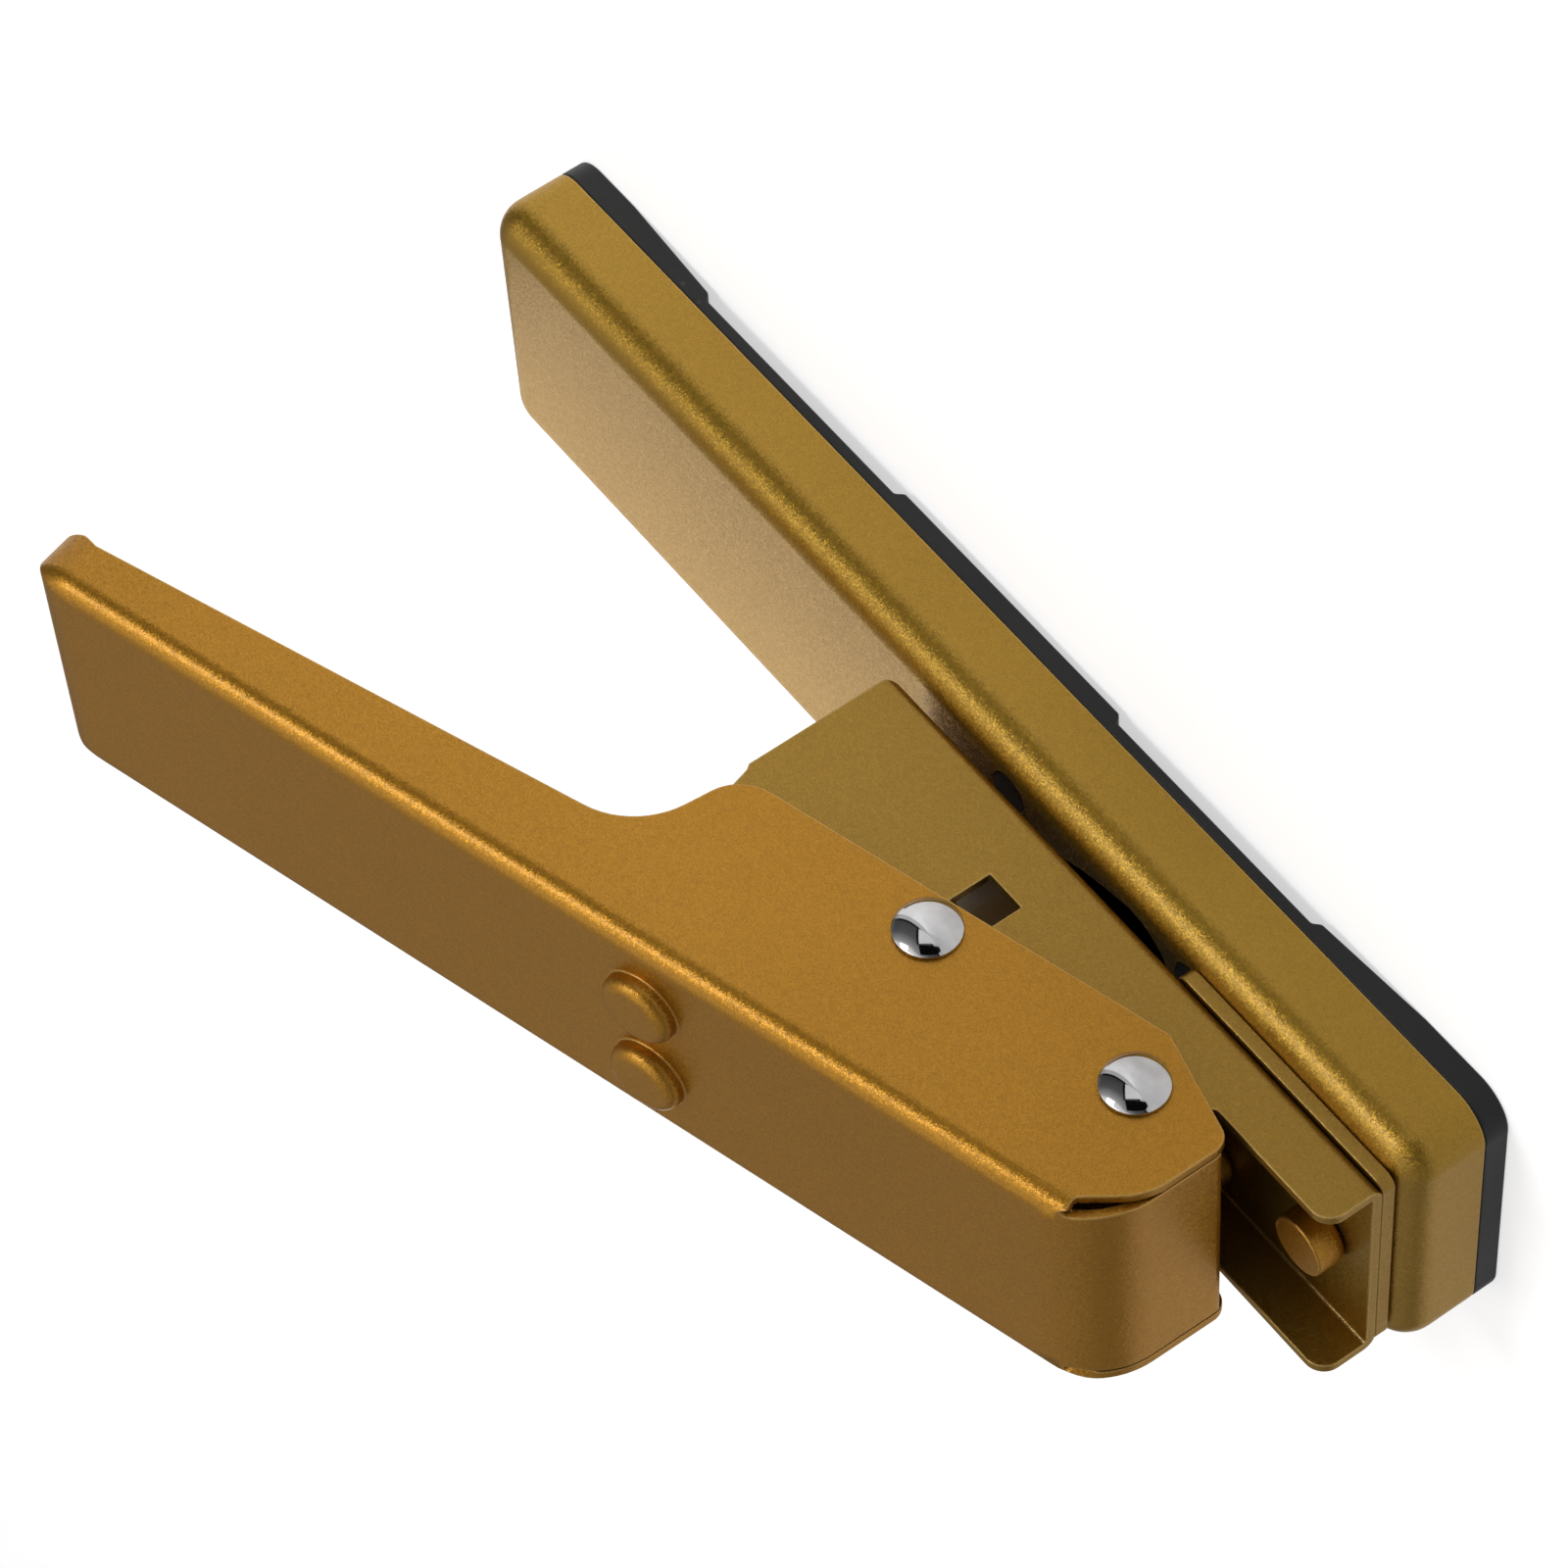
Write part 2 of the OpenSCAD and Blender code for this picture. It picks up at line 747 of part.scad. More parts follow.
// Sleeve that keeps the frame walls apart at the pivot
module pivot_sleeve() {
  color([0.6, 0.6, 0.6]) at_pivot() {
    tube(sleeve_d / 2, shank_d / 2 + rivet_fit, frame_inner_half - face_fit);
  }
}

// Rivet that the handle drives the punch with
module drive_post() {
  color([0.72, 0.72, 0.74]) at_drive() rivet_post();
}

// Cap on the far end of the drive rivet
module drive_cap() {
  color([0.72, 0.72, 0.74]) at_drive() rivet_cap();
}

// Sleeve on the drive rivet, between the ears of the carrier
module drive_sleeve() {
  color([0.6, 0.6, 0.6]) at_drive() {
    tube(sleeve_d / 2, shank_d / 2 + rivet_fit, carrier_inner_half - face_fit);
  }
}

// Bend of the nose tongue, and the angle at which it runs out into the straight nose
nose_centre = [nose_curve_along, web_height - nose_curve_r];
nose_foot = [-nose_reach, (nose_reach + nose_corner_along) * tan(nose_slope) - flange_drop];
nose_angle = atan2(nose_foot.y - nose_centre.y, nose_foot.x - nose_centre.x) + 360
  - acos(nose_curve_r / norm(nose_foot - nose_centre));
nose_bend = nose_centre + nose_curve_r * direction(nose_angle);

// Side view of the handle: sloped nose, curved front, web, rear ear and saddle
function handle_outline() =
  let (rear_edge = web_height - rear_flange_height)
  concat(
    rounded([
      [handle_rear, rear_edge - ear_drop, 0],
      [handle_rear - ear_end, rear_edge - ear_drop, ear_r],
      [handle_rear - ear_start, rear_edge, ear_r],
      [saddle_along + saddle_lean, saddle_rise, saddle_inner_r],
      [saddle_along, -flange_drop, saddle_outer_r],
      [nose_corner_along, -flange_drop, flange_corner_r],
      [nose_foot.x, nose_foot.y, nose_corner_r],
      [(nose_foot.x + nose_bend.x) / 2, (nose_foot.y + nose_bend.y) / 2, 0]
    ]),
    arc(nose_centre, nose_curve_r, nose_angle, 90),
    corner([0, web_height], [handle_rear, web_height], [handle_rear, rear_edge], rear_fold_r)
  );

// Side view of the space inside the handle
function handle_inside() =
  let (
    inner_web = web_height - handle_sheet,
    inner_rear = handle_rear - handle_sheet,
    inner_nose = handle_sheet - nose_reach,
    inner_foot = nose_foot - handle_sheet * direction(nose_angle)
  )
  concat(
    arc(nose_centre, nose_curve_r - handle_sheet, nose_angle, 90),
    corner([0, inner_web], [inner_rear, inner_web], [inner_rear, 0], rear_fold_r - handle_sheet),
    [
      [inner_rear, -flange_drop - overrun],
      [inner_nose, -flange_drop - overrun],
      [inner_nose, inner_foot.y + (inner_nose - inner_foot.x) * tan(nose_angle - 90)]
    ]
  );

// Block that rounds the folds and the rear corners; it runs on past the nose
module handle_block(inset) {
  length = 2 * (handle_rear - inset);
  translate([0, 0, web_height - inset]) {
    drawn_block(
      length, 2 * (handle_half - inset), web_height + 2 * flange_drop,
      handle_corner_r - inset, handle_fold_r - inset
    );
  }
}

// Slits between the nose tongue and the flanges, with a round relief at the fold
module nose_slits() {
  middle_y = handle_inner_half - slit_width / 2;
  for (side = [-1, 1]) {
    translate([-slit_start - nose_reach, side * middle_y - slit_width / 2, -flange_drop]) {
      cube([nose_reach, slit_width, web_height + flange_drop + overrun]);
    }
    translate([-slit_start, side * (handle_inner_half - slit_width), web_height / 2]) {
      cylinder(r = relief_r, h = web_height);
    }
  }
}

// Space in front of the near flange, which stops short of the nose tongue
module flange_setback() {
  front = -nose_reach - overrun;
  top = web_height + overrun;
  turn = [-setback_along, web_height - setback_depth];
  width = 2 * handle_half;
  translate([0, -(handle_inner_half - slit_width + width / 2), 0]) across(width) {
    polygon(rounded([
      [-slit_start, top, 0],
      [-slit_start, web_height - setback_start, 0],
      [turn.x, turn.y, setback_r],
      [turn.x - setback_run.x, turn.y - setback_run.y, 0],
      [front, turn.y - setback_run.y, 0],
      [front, top, 0]
    ]));
  }
}

// Drawn dimple with a round upper edge, its foot at zero
module dimple() {
  rotate_extrude() {
    square([dimple_d / 2 - dimple_edge_r, dimple_height]);
    square([dimple_d / 2, dimple_height - dimple_edge_r]);
    translate([dimple_d / 2 - dimple_edge_r, dimple_height - dimple_edge_r]) circle(dimple_edge_r);
  }
}

module dimple_places() {
  for (side = [-1, 1]) {
    translate([dimple_along, side * dimple_spacing / 2, web_height]) children();
  }
}

// Pressed handle: a channel with a drawn rear end, a saddle in its flanges and a tongue over the nose
module handle() {
  color([0.63, 0.45, 0.16]) handle_space() difference() {
    union() {
      intersection() {
        across(2 * handle_half) polygon(handle_outline());
        handle_block(0);
      }
      dimple_places() dimple();
    }
    intersection() {
      across(2 * handle_inner_half) polygon(handle_inside());
      handle_block(handle_sheet);
    }
    dimple_places() translate([0, 0, -handle_sheet - overrun]) {
      cylinder(d = dimple_d - 2 * dimple_wall, h = dimple_height + overrun);
    }
    nose_slits();
    flange_setback();
    bar(shank_d / 2 + rivet_fit, handle_half + overrun);
    translate([drive_along, 0, -drive_below]) bar(shank_d / 2 + rivet_fit, handle_half + overrun);
  }
}

// Return spring: the wire winds up from its boss and leans forward into its dimple
spring_coil_r = spring_d / 2 - wire_d / 2;
spring_top_along = dimple_along;
dimple_roof = web_height - handle_sheet + dimple_height;
spring_top_rise = dimple_roof - spring_gap - spring_d / 2 * sin(open_angle) - wire_d / 2;
spring_top = [
  pivot_x + spring_top_along * cos(open_angle) - spring_top_rise * sin(open_angle),
  pivot_z + spring_top_along * sin(open_angle) + spring_top_rise * cos(open_angle)
];
spring_low_z = floor_z + wire_d / 2;
function spring_point(turns) =
  let (share = turns / spring_turns)
  [
    spring_seat_x + (spring_top.x - spring_seat_x) * share + spring_coil_r * cos(360 * turns),
    spring_coil_r * sin(360 * turns),
    spring_low_z + (spring_top.y - spring_low_z) * share
  ];
ring_count = spring_turns * rings_per_turn;
function spring_ring(i) =
  let (
    turns = i / rings_per_turn,
    outward = [cos(360 * turns), sin(360 * turns), 0],
    heading = unit(spring_point(turns + 1 / rings_per_turn) - spring_point(turns - 1 / rings_per_turn)),
    upward = unit(cross(heading, outward))
  )
  [for (k = [0:wire_sides - 1])
    let (angle = 360 * k / wire_sides)
    spring_point(turns) + wire_d / 2 * (cos(angle) * outward + sin(angle) * upward)];

module spring() {
  points = [for (i = [0:ring_count]) each spring_ring(i)];
  last = ring_count * wire_sides;
  sides = [for (i = [0:ring_count - 1], k = [0:wire_sides - 1])
    let (here = i * wire_sides, next = (k + 1) % wire_sides)
    each [
      [here + k, here + wire_sides + k, here + wire_sides + next],
      [here + k, here + wire_sides + next, here + next]
    ]];
  low_end = [for (k = [1:wire_sides - 2]) [0, k, k + 1]];
  high_end = [for (k = [1:wire_sides - 2]) [last, last + k + 1, last + k]];
  polyhedron(points, concat(sides, low_end, high_end));
}

// Least gap between one turn of the spring and the next, measured on points
spring_gaps = [for (i = [0:ring_count - rings_per_turn], j = [-1, 0, 1])
  let (above = i + rings_per_turn + j)
  if (above <= ring_count)
    norm(spring_point(above / rings_per_turn) - spring_point(i / rings_per_turn)) - wire_d];
echo(spring_least_gap = min(spring_gaps));

// Spring on the near side
module spring_near() {
  color([0.66, 0.67, 0.68]) translate([0, -dimple_spacing / 2, 0]) spring();
}

// Spring on the other side
module spring_far() {
  color([0.66, 0.67, 0.68]) translate([0, dimple_spacing / 2, 0]) spring();
}

echo(stroke = stroke, closing_angle = closing_angle, pick_length = pick_length, drive = [drive_x, drive_z]);

base_tray();
base_cover();
throat_plate();
frame();
nose_rivet();
frame_rivets();
die_plate();
die_screws();
punch();
punch_carrier();
carrier_rivets();
pivot_post();
pivot_cap();
pivot_sleeve();
handle();
drive_post();
drive_cap();
drive_sleeve();
spring_near();
spring_far();
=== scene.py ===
"""Looks of the pick punch: gold pressed steel on a black moulded cover, with chrome rivets."""

import logging
import math
from collections.abc import Callable, Iterator, Sequence
from contextlib import contextmanager
from dataclasses import dataclass, field
from enum import Enum
from functools import cached_property

import bmesh
import bpy
from mathutils import Matrix, Quaternion, Vector


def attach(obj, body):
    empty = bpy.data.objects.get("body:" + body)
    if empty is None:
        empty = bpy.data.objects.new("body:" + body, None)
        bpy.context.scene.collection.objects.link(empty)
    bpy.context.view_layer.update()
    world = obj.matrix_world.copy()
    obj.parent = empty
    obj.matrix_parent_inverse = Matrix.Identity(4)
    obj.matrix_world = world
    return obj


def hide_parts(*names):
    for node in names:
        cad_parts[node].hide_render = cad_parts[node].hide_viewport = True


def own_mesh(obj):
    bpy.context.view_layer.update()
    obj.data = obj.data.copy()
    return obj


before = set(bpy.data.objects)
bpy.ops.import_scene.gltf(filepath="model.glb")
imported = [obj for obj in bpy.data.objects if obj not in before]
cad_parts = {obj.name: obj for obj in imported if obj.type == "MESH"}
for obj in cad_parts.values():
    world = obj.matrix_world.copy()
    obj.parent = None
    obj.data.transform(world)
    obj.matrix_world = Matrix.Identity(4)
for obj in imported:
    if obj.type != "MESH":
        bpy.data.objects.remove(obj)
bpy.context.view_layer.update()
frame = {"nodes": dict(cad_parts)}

log = logging.getLogger("pick_punch")

Flat = tuple[float, float]
Place = tuple[float, float, float]
Piece = bpy.types.Object
Socket = bpy.types.NodeSocket
Test = Callable[[Vector, Vector], bool]

MILLIMETRE = 0.001
FAR = 60.0  # beyond every side of a piece
HAIR = 0.01  # how exactly a face or edge lies in its plane
UP = Vector((0, 0, 1))


# Bench: selecting and shaping


class Part(Enum):
    """What an operator in edit mode works on."""

    EDGE = "EDGE"
    FACE = "FACE"


class Cut(Enum):
    """How two solids are combined."""

    JOIN = "UNION"
    REMOVE = "DIFFERENCE"
    KEEP_SHARED = "INTERSECT"


class Axis(Enum):
    """Directions that a plate or bar is made along."""

    ACROSS = "Y"
    UP = "Z"


def only(piece: Piece) -> None:
    """Selects one piece alone and makes it active."""
    bpy.ops.object.select_all(action="DESELECT")
    piece.select_set(True)
    bpy.context.view_layer.objects.active = piece


@contextmanager
def editing(piece: Piece) -> Iterator[None]:
    """Edit mode on one piece, starting with nothing selected.

    Args:
        piece: the piece to edit.
    """
    only(piece)
    bpy.ops.object.mode_set(mode="EDIT")
    bpy.ops.mesh.select_all(action="DESELECT")
    yield
    bpy.ops.object.mode_set(mode="OBJECT")


def pick(piece: Piece, part: Part, test: Test) -> int:
    """Selects, in edit mode, the edges or faces that pass a test, and nothing else.

    Args:
        piece: the piece in edit mode.
        part: edges or faces.
        test: gets the middle, and an edge's direction or a face's normal.

    Returns:
        How many were selected.
    """
    bpy.ops.mesh.select_mode(type=part.value)
    bpy.ops.mesh.select_all(action="DESELECT")
    mesh = bmesh.from_edit_mesh(piece.data)
    if part is Part.EDGE:
        ends = [(e, e.verts[0].co, e.verts[1].co) for e in mesh.edges]
        chosen = [e for e, a, b in ends if test((a + b) / 2, (b - a).normalized())]
    else:
        mesh.normal_update()
        chosen = [f for f in mesh.faces if test(f.calc_center_median(), f.normal)]
    for item in chosen:
        item.select_set(True)
    mesh.select_flush_mode()
    bmesh.update_edit_mesh(piece.data)
    return len(chosen)


def face_outwards() -> None:
    """Turns all faces of the edited piece outwards."""
    bpy.ops.mesh.select_all(action="SELECT")
    bpy.ops.mesh.normals_make_consistent(inside=False)


def bake_place() -> None:
    """Puts the selected piece's place, turn and scale into its mesh."""
    bpy.ops.object.transform_apply(location=True, rotation=True, scale=True)


def start(name: str, add: Callable[..., object], **settings: object) -> Piece:
    """Starts a piece from a primitive, with its place in its mesh.

    Args:
        name: name of the piece.
        add: the operator that adds the primitive.
        settings: the operator's settings.

    Returns:
        The piece.
    """
    bpy.ops.object.select_all(action="DESELECT")
    add(**settings)
    piece = bpy.context.active_object
    piece.name = name
    piece.data.name = name
    bake_place()
    return piece


def start_block(name: str, low: Place, high: Place) -> Piece:
    """Starts a piece from a cube.

    Args:
        name: name of the piece.
        low: lowest corner.
        high: highest corner.

    Returns:
        The block.
    """
    middle = [(a + b) / 2 for a, b in zip(low, high)]
    size = [b - a for a, b in zip(low, high)]
    return start(name, bpy.ops.mesh.primitive_cube_add, size=1, location=middle, scale=size)


def drill(piece: Piece, middle: Place, radius: float, length: float, axis: Axis, sides: int = 24) -> None:
    """Drills a round hole.

    Args:
        piece: the piece.
        middle: middle of the hole.
        radius: its radius.
        length: its length.
        axis: its direction.
        sides: number of sides.
    """
    turn = (math.pi / 2, 0, 0) if axis is Axis.ACROSS else (0, 0, 0)
    bar = start(
        "hole", bpy.ops.mesh.primitive_cylinder_add,
        vertices=sides, radius=radius, depth=length, location=middle, rotation=turn,
    )
    combine(piece, bar, Cut.REMOVE)


def outline_plate(name: str, points: Sequence[Flat], low: float, high: float, axis: Axis) -> Piece:
    """Plate with a free outline: the rim points of a filled circle are moved to it, then it is extruded.

    Args:
        name: name of the piece.
        points: the outline, as (x, z) for a plate across the part and (x, y) for one that lies flat.
        low: where its thickness starts.
        high: where its thickness ends.
        axis: the direction of its thickness.

    Returns:
        The plate, closed.
    """
    across = axis is Axis.ACROSS
    piece = start(name, bpy.ops.mesh.primitive_circle_add, vertices=len(points), radius=1, fill_type="NGON")
    with editing(piece):
        bpy.ops.mesh.select_mode(type="VERT")
        for i, (a, b) in enumerate(points):
            goal = Vector((a, low, b)) if across else Vector((a, b, low))
            mesh = bmesh.from_edit_mesh(piece.data)
            mesh.verts.ensure_lookup_table()
            for v in mesh.verts:
                v.select_set(False)
            mesh.verts[i].select_set(True)
            step = goal - mesh.verts[i].co
            bmesh.update_edit_mesh(piece.data)
            bpy.ops.transform.translate(value=step)
        bpy.ops.mesh.select_mode(type="FACE")
        bpy.ops.mesh.select_all(action="SELECT")
        reach = (0, high - low, 0) if across else (0, 0, high - low)
        bpy.ops.mesh.extrude_region_move(TRANSFORM_OT_translate={"value": reach})
        face_outwards()
    return piece


def turned(name: str, foot: Place, axis: Vector, profile: Sequence[Flat], sides: int) -> Piece:
    """Turned part: a disc is extruded along its axis and resized from station to station.

    Args:
        name: name of the piece.
        foot: the point of the axis that stations are counted from.
        axis: direction of the axis.
        profile: stations of (radius, height along the axis).
        sides: number of sides.

    Returns:
        The closed part.
    """
    origin = Vector(foot)
    radius, height = profile[0]
    piece = start(
        name, bpy.ops.mesh.primitive_circle_add, vertices=sides, radius=radius, fill_type="NGON",
        location=origin + axis * height, rotation=axis.to_track_quat("Z", "Y").to_euler(),
    )
    with editing(piece):
        bpy.ops.mesh.select_mode(type="FACE")
        bpy.ops.mesh.select_all(action="SELECT")
        for new_radius, new_height in profile[1:]:
            step = axis * (new_height - height)
            bpy.ops.mesh.extrude_region_move(TRANSFORM_OT_translate={"value": step})
            share = new_radius / radius
            bpy.ops.transform.resize(value=(share, share, share), center_override=origin + axis * new_height)
            radius, height = new_radius, new_height
        face_outwards()
    return piece


def upright(middle: Vector, way: Vector) -> bool:
    """Whether an edge stands upright."""
    return abs(way.z) > 0.9


def round_edges(piece: Piece, radius: float, segments: int, test: Test) -> None:
    """Rounds the edges that pass a test.

    Args:
        piece: the piece.
        radius: width of the rounding along each face.
        segments: number of segments.
        test: gets an edge's middle and direction.
    """
    with editing(piece):
        if not pick(piece, Part.EDGE, test):
            raise ValueError(f"{piece.name}: no edge to round")
        bpy.ops.mesh.bevel(offset=radius, segments=segments, profile=0.5, affect="EDGES")


def modify(piece: Piece, kind: str, **settings: object) -> None:
    """Adds a modifier and applies it.

    Args:
        piece: the piece.
        kind: Blender's name of the modifier's type.
        settings: the modifier's properties.
    """
    step = piece.modifiers.new("step", kind)
    for key, value in settings.items():
        setattr(step, key, value)
    only(piece)
    bpy.ops.object.modifier_apply(modifier=step.name)


def combine(piece: Piece, tool: Piece, cut: Cut) -> None:
    """Combines a piece with a second solid, which is used up."""
    modify(piece, "BOOLEAN", operation=cut.value, solver="EXACT", object=tool)
    bpy.data.objects.remove(tool, do_unlink=True)


def drop_faces(piece: Piece, test: Test) -> None:
    """Deletes the faces that pass a test, and whatever hangs on nothing then.

    Args:
        piece: the piece.
        test: gets a face's middle and normal.
    """
    with editing(piece):
        if pick(piece, Part.FACE, test):
            bpy.ops.mesh.delete(type="FACE")
        bpy.ops.mesh.select_mode(type="VERT")
        bpy.ops.mesh.select_all(action="SELECT")
        bpy.ops.mesh.delete_loose(use_verts=True, use_edges=True, use_faces=False)


def split(piece: Piece, place: Place, way: Place) -> None:
    """Cuts the faces of a piece along a plane, so that small features keep to small faces.

    Args:
        piece: the piece.
        place: a point of the plane.
        way: the plane's normal.
    """
    with editing(piece):
        bpy.ops.mesh.select_all(action="SELECT")
        bpy.ops.mesh.bisect(plane_co=place, plane_no=way)


def weld(piece: Piece, reach: float) -> None:
    """Merges points that lie together.

    Args:
        piece: the piece.
        reach: greatest distance.
    """
    with editing(piece):
        bpy.ops.mesh.select_all(action="SELECT")
        bpy.ops.mesh.remove_doubles(threshold=reach)


def give_sheet(piece: Piece, thickness: float, reach: float) -> None:
    """Gives a skin its sheet thickness, inwards.

    Args:
        piece: the skin, with its faces outwards.
        thickness: thickness of the sheet.
        reach: points of the skin closer than this are merged first.
    """
    weld(piece, reach)
    modify(piece, "SOLIDIFY", thickness=thickness, offset=-1, use_even_offset=True, use_quality_normals=True)
    weld(piece, 0.03)


def soften(piece: Piece, width: float, segments: int = 2, angle: float = 40) -> None:
    """Breaks the edges whose faces meet at this angle, in degrees, or more, as tumbling and paint do."""
    modify(
        piece, "BEVEL", width=width, segments=segments, limit_method="ANGLE",
        angle_limit=math.radians(angle), use_clamp_overlap=False, harden_normals=False,
    )


def shade(piece: Piece, angle: float) -> None:
    """Shades curved faces smoothly and keeps flat ones flat.

    Args:
        piece: the piece.
        angle: edges sharper than this stay sharp, in degrees.
    """
    only(piece)
    bpy.ops.object.shade_smooth_by_angle(angle=math.radians(angle))
    modify(piece, "WEIGHTED_NORMAL", keep_sharp=True)


# Outlines


def arc(middle: Flat, radius: float, first: float, last: float, step: float = 6.0) -> list[Flat]:
    """Points of an arc.

    Args:
        middle: its centre.
        radius: its radius.
        first: first angle in degrees.
        last: last angle in degrees.
        step: greatest angle between two points.

    Returns:
        The points, both ends included.
    """
    count = max(2, math.ceil(abs(last - first) / step))
    angles = [math.radians(first + (last - first) * i / count) for i in range(count + 1)]
    return [(middle[0] + radius * math.cos(a), middle[1] + radius * math.sin(a)) for a in angles]


def corner(before: Flat, here: Flat, after: Flat, radius: float, step: float = 6.0) -> list[Flat]:
    """One corner of an outline, rounded.

    Args:
        before: the corner before.
        here: the corner.
        after: the corner after.
        radius: radius of the rounding, or 0.
        step: greatest angle between two points.

    Returns:
        The points that stand for the corner.
    """
    if radius == 0:
        return [here]
    u = (Vector(before) - Vector(here)).normalized()
    v = (Vector(after) - Vector(here)).normalized()
    half = u.angle(v) / 2
    middle = Vector(here) + (u + v).normalized() * radius / math.sin(half)
    first = Vector(here) + u * radius / math.tan(half) - middle
    last = Vector(here) + v * radius / math.tan(half) - middle
    angle = math.atan2(first.y, first.x)
    turn = math.atan2(first.x * last.y - first.y * last.x, first.dot(last))
    return arc(tuple(middle), radius, math.degrees(angle), math.degrees(angle + turn), step)


def rounded(corners: Sequence[Place], step: float = 6.0) -> list[Flat]:
    """Outline through corners of the form (x, y, radius).

    Args:
        corners: the corners in order.
        step: greatest angle between two points of an arc.

    Returns:
        The points of the outline.
    """
    flat = [(c[0], c[1]) for c in corners]
    points = []
    for i, c in enumerate(corners):
        points += corner(flat[i - 1], flat[i], flat[(i + 1) % len(flat)], c[2], step)
    return points


@dataclass(frozen=True)
class Pick:
    """The pick that the tool cuts, in millimetres: four arcs a side, with radii as shares of one unit."""

    width: float = 26.0
    back_x: float = -43.1
    tip_share: float = 0.26
    shoulder_share: float = 0.5
    back_share: float = 2.6
    tip_angle: float = 46.0
    side_angle: float = 80.0
    back_angle: float = 165.0
    clearance: float = 0.06
    least_step: float = 0.05

    def hole(self) -> list[Flat]:
        """Outline of the hole that it falls through, in the row frame.

        Returns:
            The points, from the tip round to the tip.
        """

        def way(angle: float, length: float) -> Vector:
            """Vector of a length at an angle in degrees."""
            return Vector((math.cos(math.radians(angle)), math.sin(math.radians(angle)))) * length

        tip, shoulder, back = self.tip_share, self.shoulder_share, self.back_share
        tip_sine, side_sine, back_sine = (
            math.sin(math.radians(a)) for a in (self.tip_angle, self.side_angle, self.back_angle)
        )
        rest = tip * tip_sine - shoulder * side_sine + (shoulder - back) * back_sine
        side = rest / (tip_sine - side_sine)
        side_middle = way(self.tip_angle, tip - side)
        shoulder_middle = side_middle + way(self.side_angle, side - shoulder)
        back_middle = shoulder_middle + way(self.back_angle, shoulder - back)
        unit = self.width / 2 / (shoulder_middle.y + shoulder)
        half, angle = [], 0.0
        for middle, share, end in (
            (Vector((0, 0)), tip, self.tip_angle), (side_middle, side, self.side_angle),
            (shoulder_middle, shoulder, self.back_angle), (back_middle, back, 180),
        ):
            half += arc(tuple(middle * unit), unit * share + self.clearance, angle, end)
            angle = end
        shift = self.back_x + unit * (tip + back - back_middle.x) - unit * tip
        kept: list[Flat] = []
        for x, y in half + [(x, -y) for x, y in reversed(half[1:-1])]:
            if not kept or math.dist((x + shift, y), kept[-1]) > self.least_step:
                kept.append((x + shift, y))
        return kept


# Shader node groups


class Nodes:
    """Small helper that lays out shader nodes and links them."""

    def __init__(self, tree: bpy.types.NodeTree) -> None:
        """Keeps the tree that nodes are added to."""
        self.tree = tree

    def feed(self, slot: Socket, value: object) -> None:
        """Links a socket to an input, or sets the input's own value.

        Args:
            slot: the input.
            value: a socket, a number, a vector or a colour.
        """
        if isinstance(value, bpy.types.NodeSocket):
            self.tree.links.new(value, slot)
        elif slot.type == "RGBA" and len(value) == 3:
            slot.default_value = (*value, 1.0)
        else:
            slot.default_value = value

    def fill(self, node: bpy.types.Node, **values: object) -> bpy.types.Node:
        """Sets properties of a node, and feeds its inputs.

        Args:
            node: the node.
            values: properties, and inputs by name with spaces as underscores.

        Returns:
            The node.
        """
        for key, value in values.items():
            slot = node.inputs.get(key.replace("_", " "))
            if slot is None:
                setattr(node, key, value)
            else:
                self.feed(slot, value)
        return node

    def add(self, kind: str, **values: object) -> bpy.types.Node:
        """Adds a node of one of Blender's types and fills it."""
        return self.fill(self.tree.nodes.new(kind), **values)

    def here(self) -> Socket:
        """The place on the piece, in Object coordinates."""
        return self.add("ShaderNodeTexCoord").outputs["Object"]

    def along(self) -> dict[str, Socket]:
        """The place on the piece as its three coordinates, by name."""
        parts = self.add("ShaderNodeSeparateXYZ", Vector=self.here())
        return dict(parts.outputs.items())

    def maths(self, operation: str, a: object, b: object = 0.0, clamp: bool = False) -> Socket:
        """Math node on sockets or numbers.

        Args:
            operation: Blender's name of the operation.
            a: first socket or number.
            b: second socket or number.
            clamp: whether the result stays between 0 and 1.

        Returns:
            The result's socket.
        """
        node = self.add("ShaderNodeMath", operation=operation, use_clamp=clamp)
        self.feed(node.inputs[0], a)
        self.feed(node.inputs[1], b)
        return node.outputs[0]

    def times(self, a: object, b: object) -> Socket:
        """The product of two sockets or numbers."""
        return self.maths("MULTIPLY", a, b)

    def vectors(self, operation: str, a: Socket, b: object = None) -> Socket:
        """Vector Math node.

        Args:
            operation: Blender's name of the operation.
            a: first vector.
            b: second vector, or the factor of SCALE.

        Returns:
            The result's socket.
        """
        node = self.add("ShaderNodeVectorMath", operation=operation)
        self.feed(node.inputs[0], a)
        if b is not None:
            self.feed(node.inputs["Scale" if operation == "SCALE" else 1], b)
        return node.outputs["Value" if operation == "DOT_PRODUCT" else "Vector"]

    def mix(self, share: object, a: object, b: object) -> Socket:
        """Colour mix.

        Args:
            share: how much of b, as a socket or number.
            a: first colour or socket.
            b: second colour or socket.

        Returns:
            The colour's socket.
        """
        node = self.add("ShaderNodeMix", data_type="RGBA")
        for i, value in ((0, share), (6, a), (7, b)):
            self.feed(node.inputs[i], value)
        return node.outputs[2]

    def remap(
        self, value: Socket, low: float, high: float, new_low: float = 0.0, new_high: float = 1.0
    ) -> Socket:
        """Maps a value from one range to another, clamped.

        Args:
            value: the socket.
            low: value that becomes new_low.
            high: value that becomes new_high.
            new_low: result at low.
            new_high: result at high.

        Returns:
            The result's socket.
        """
        node = self.add(
            "ShaderNodeMapRange", clamp=True, Value=value,
            From_Min=low, From_Max=high, To_Min=new_low, To_Max=new_high,
        )
        return node.outputs["Result"]


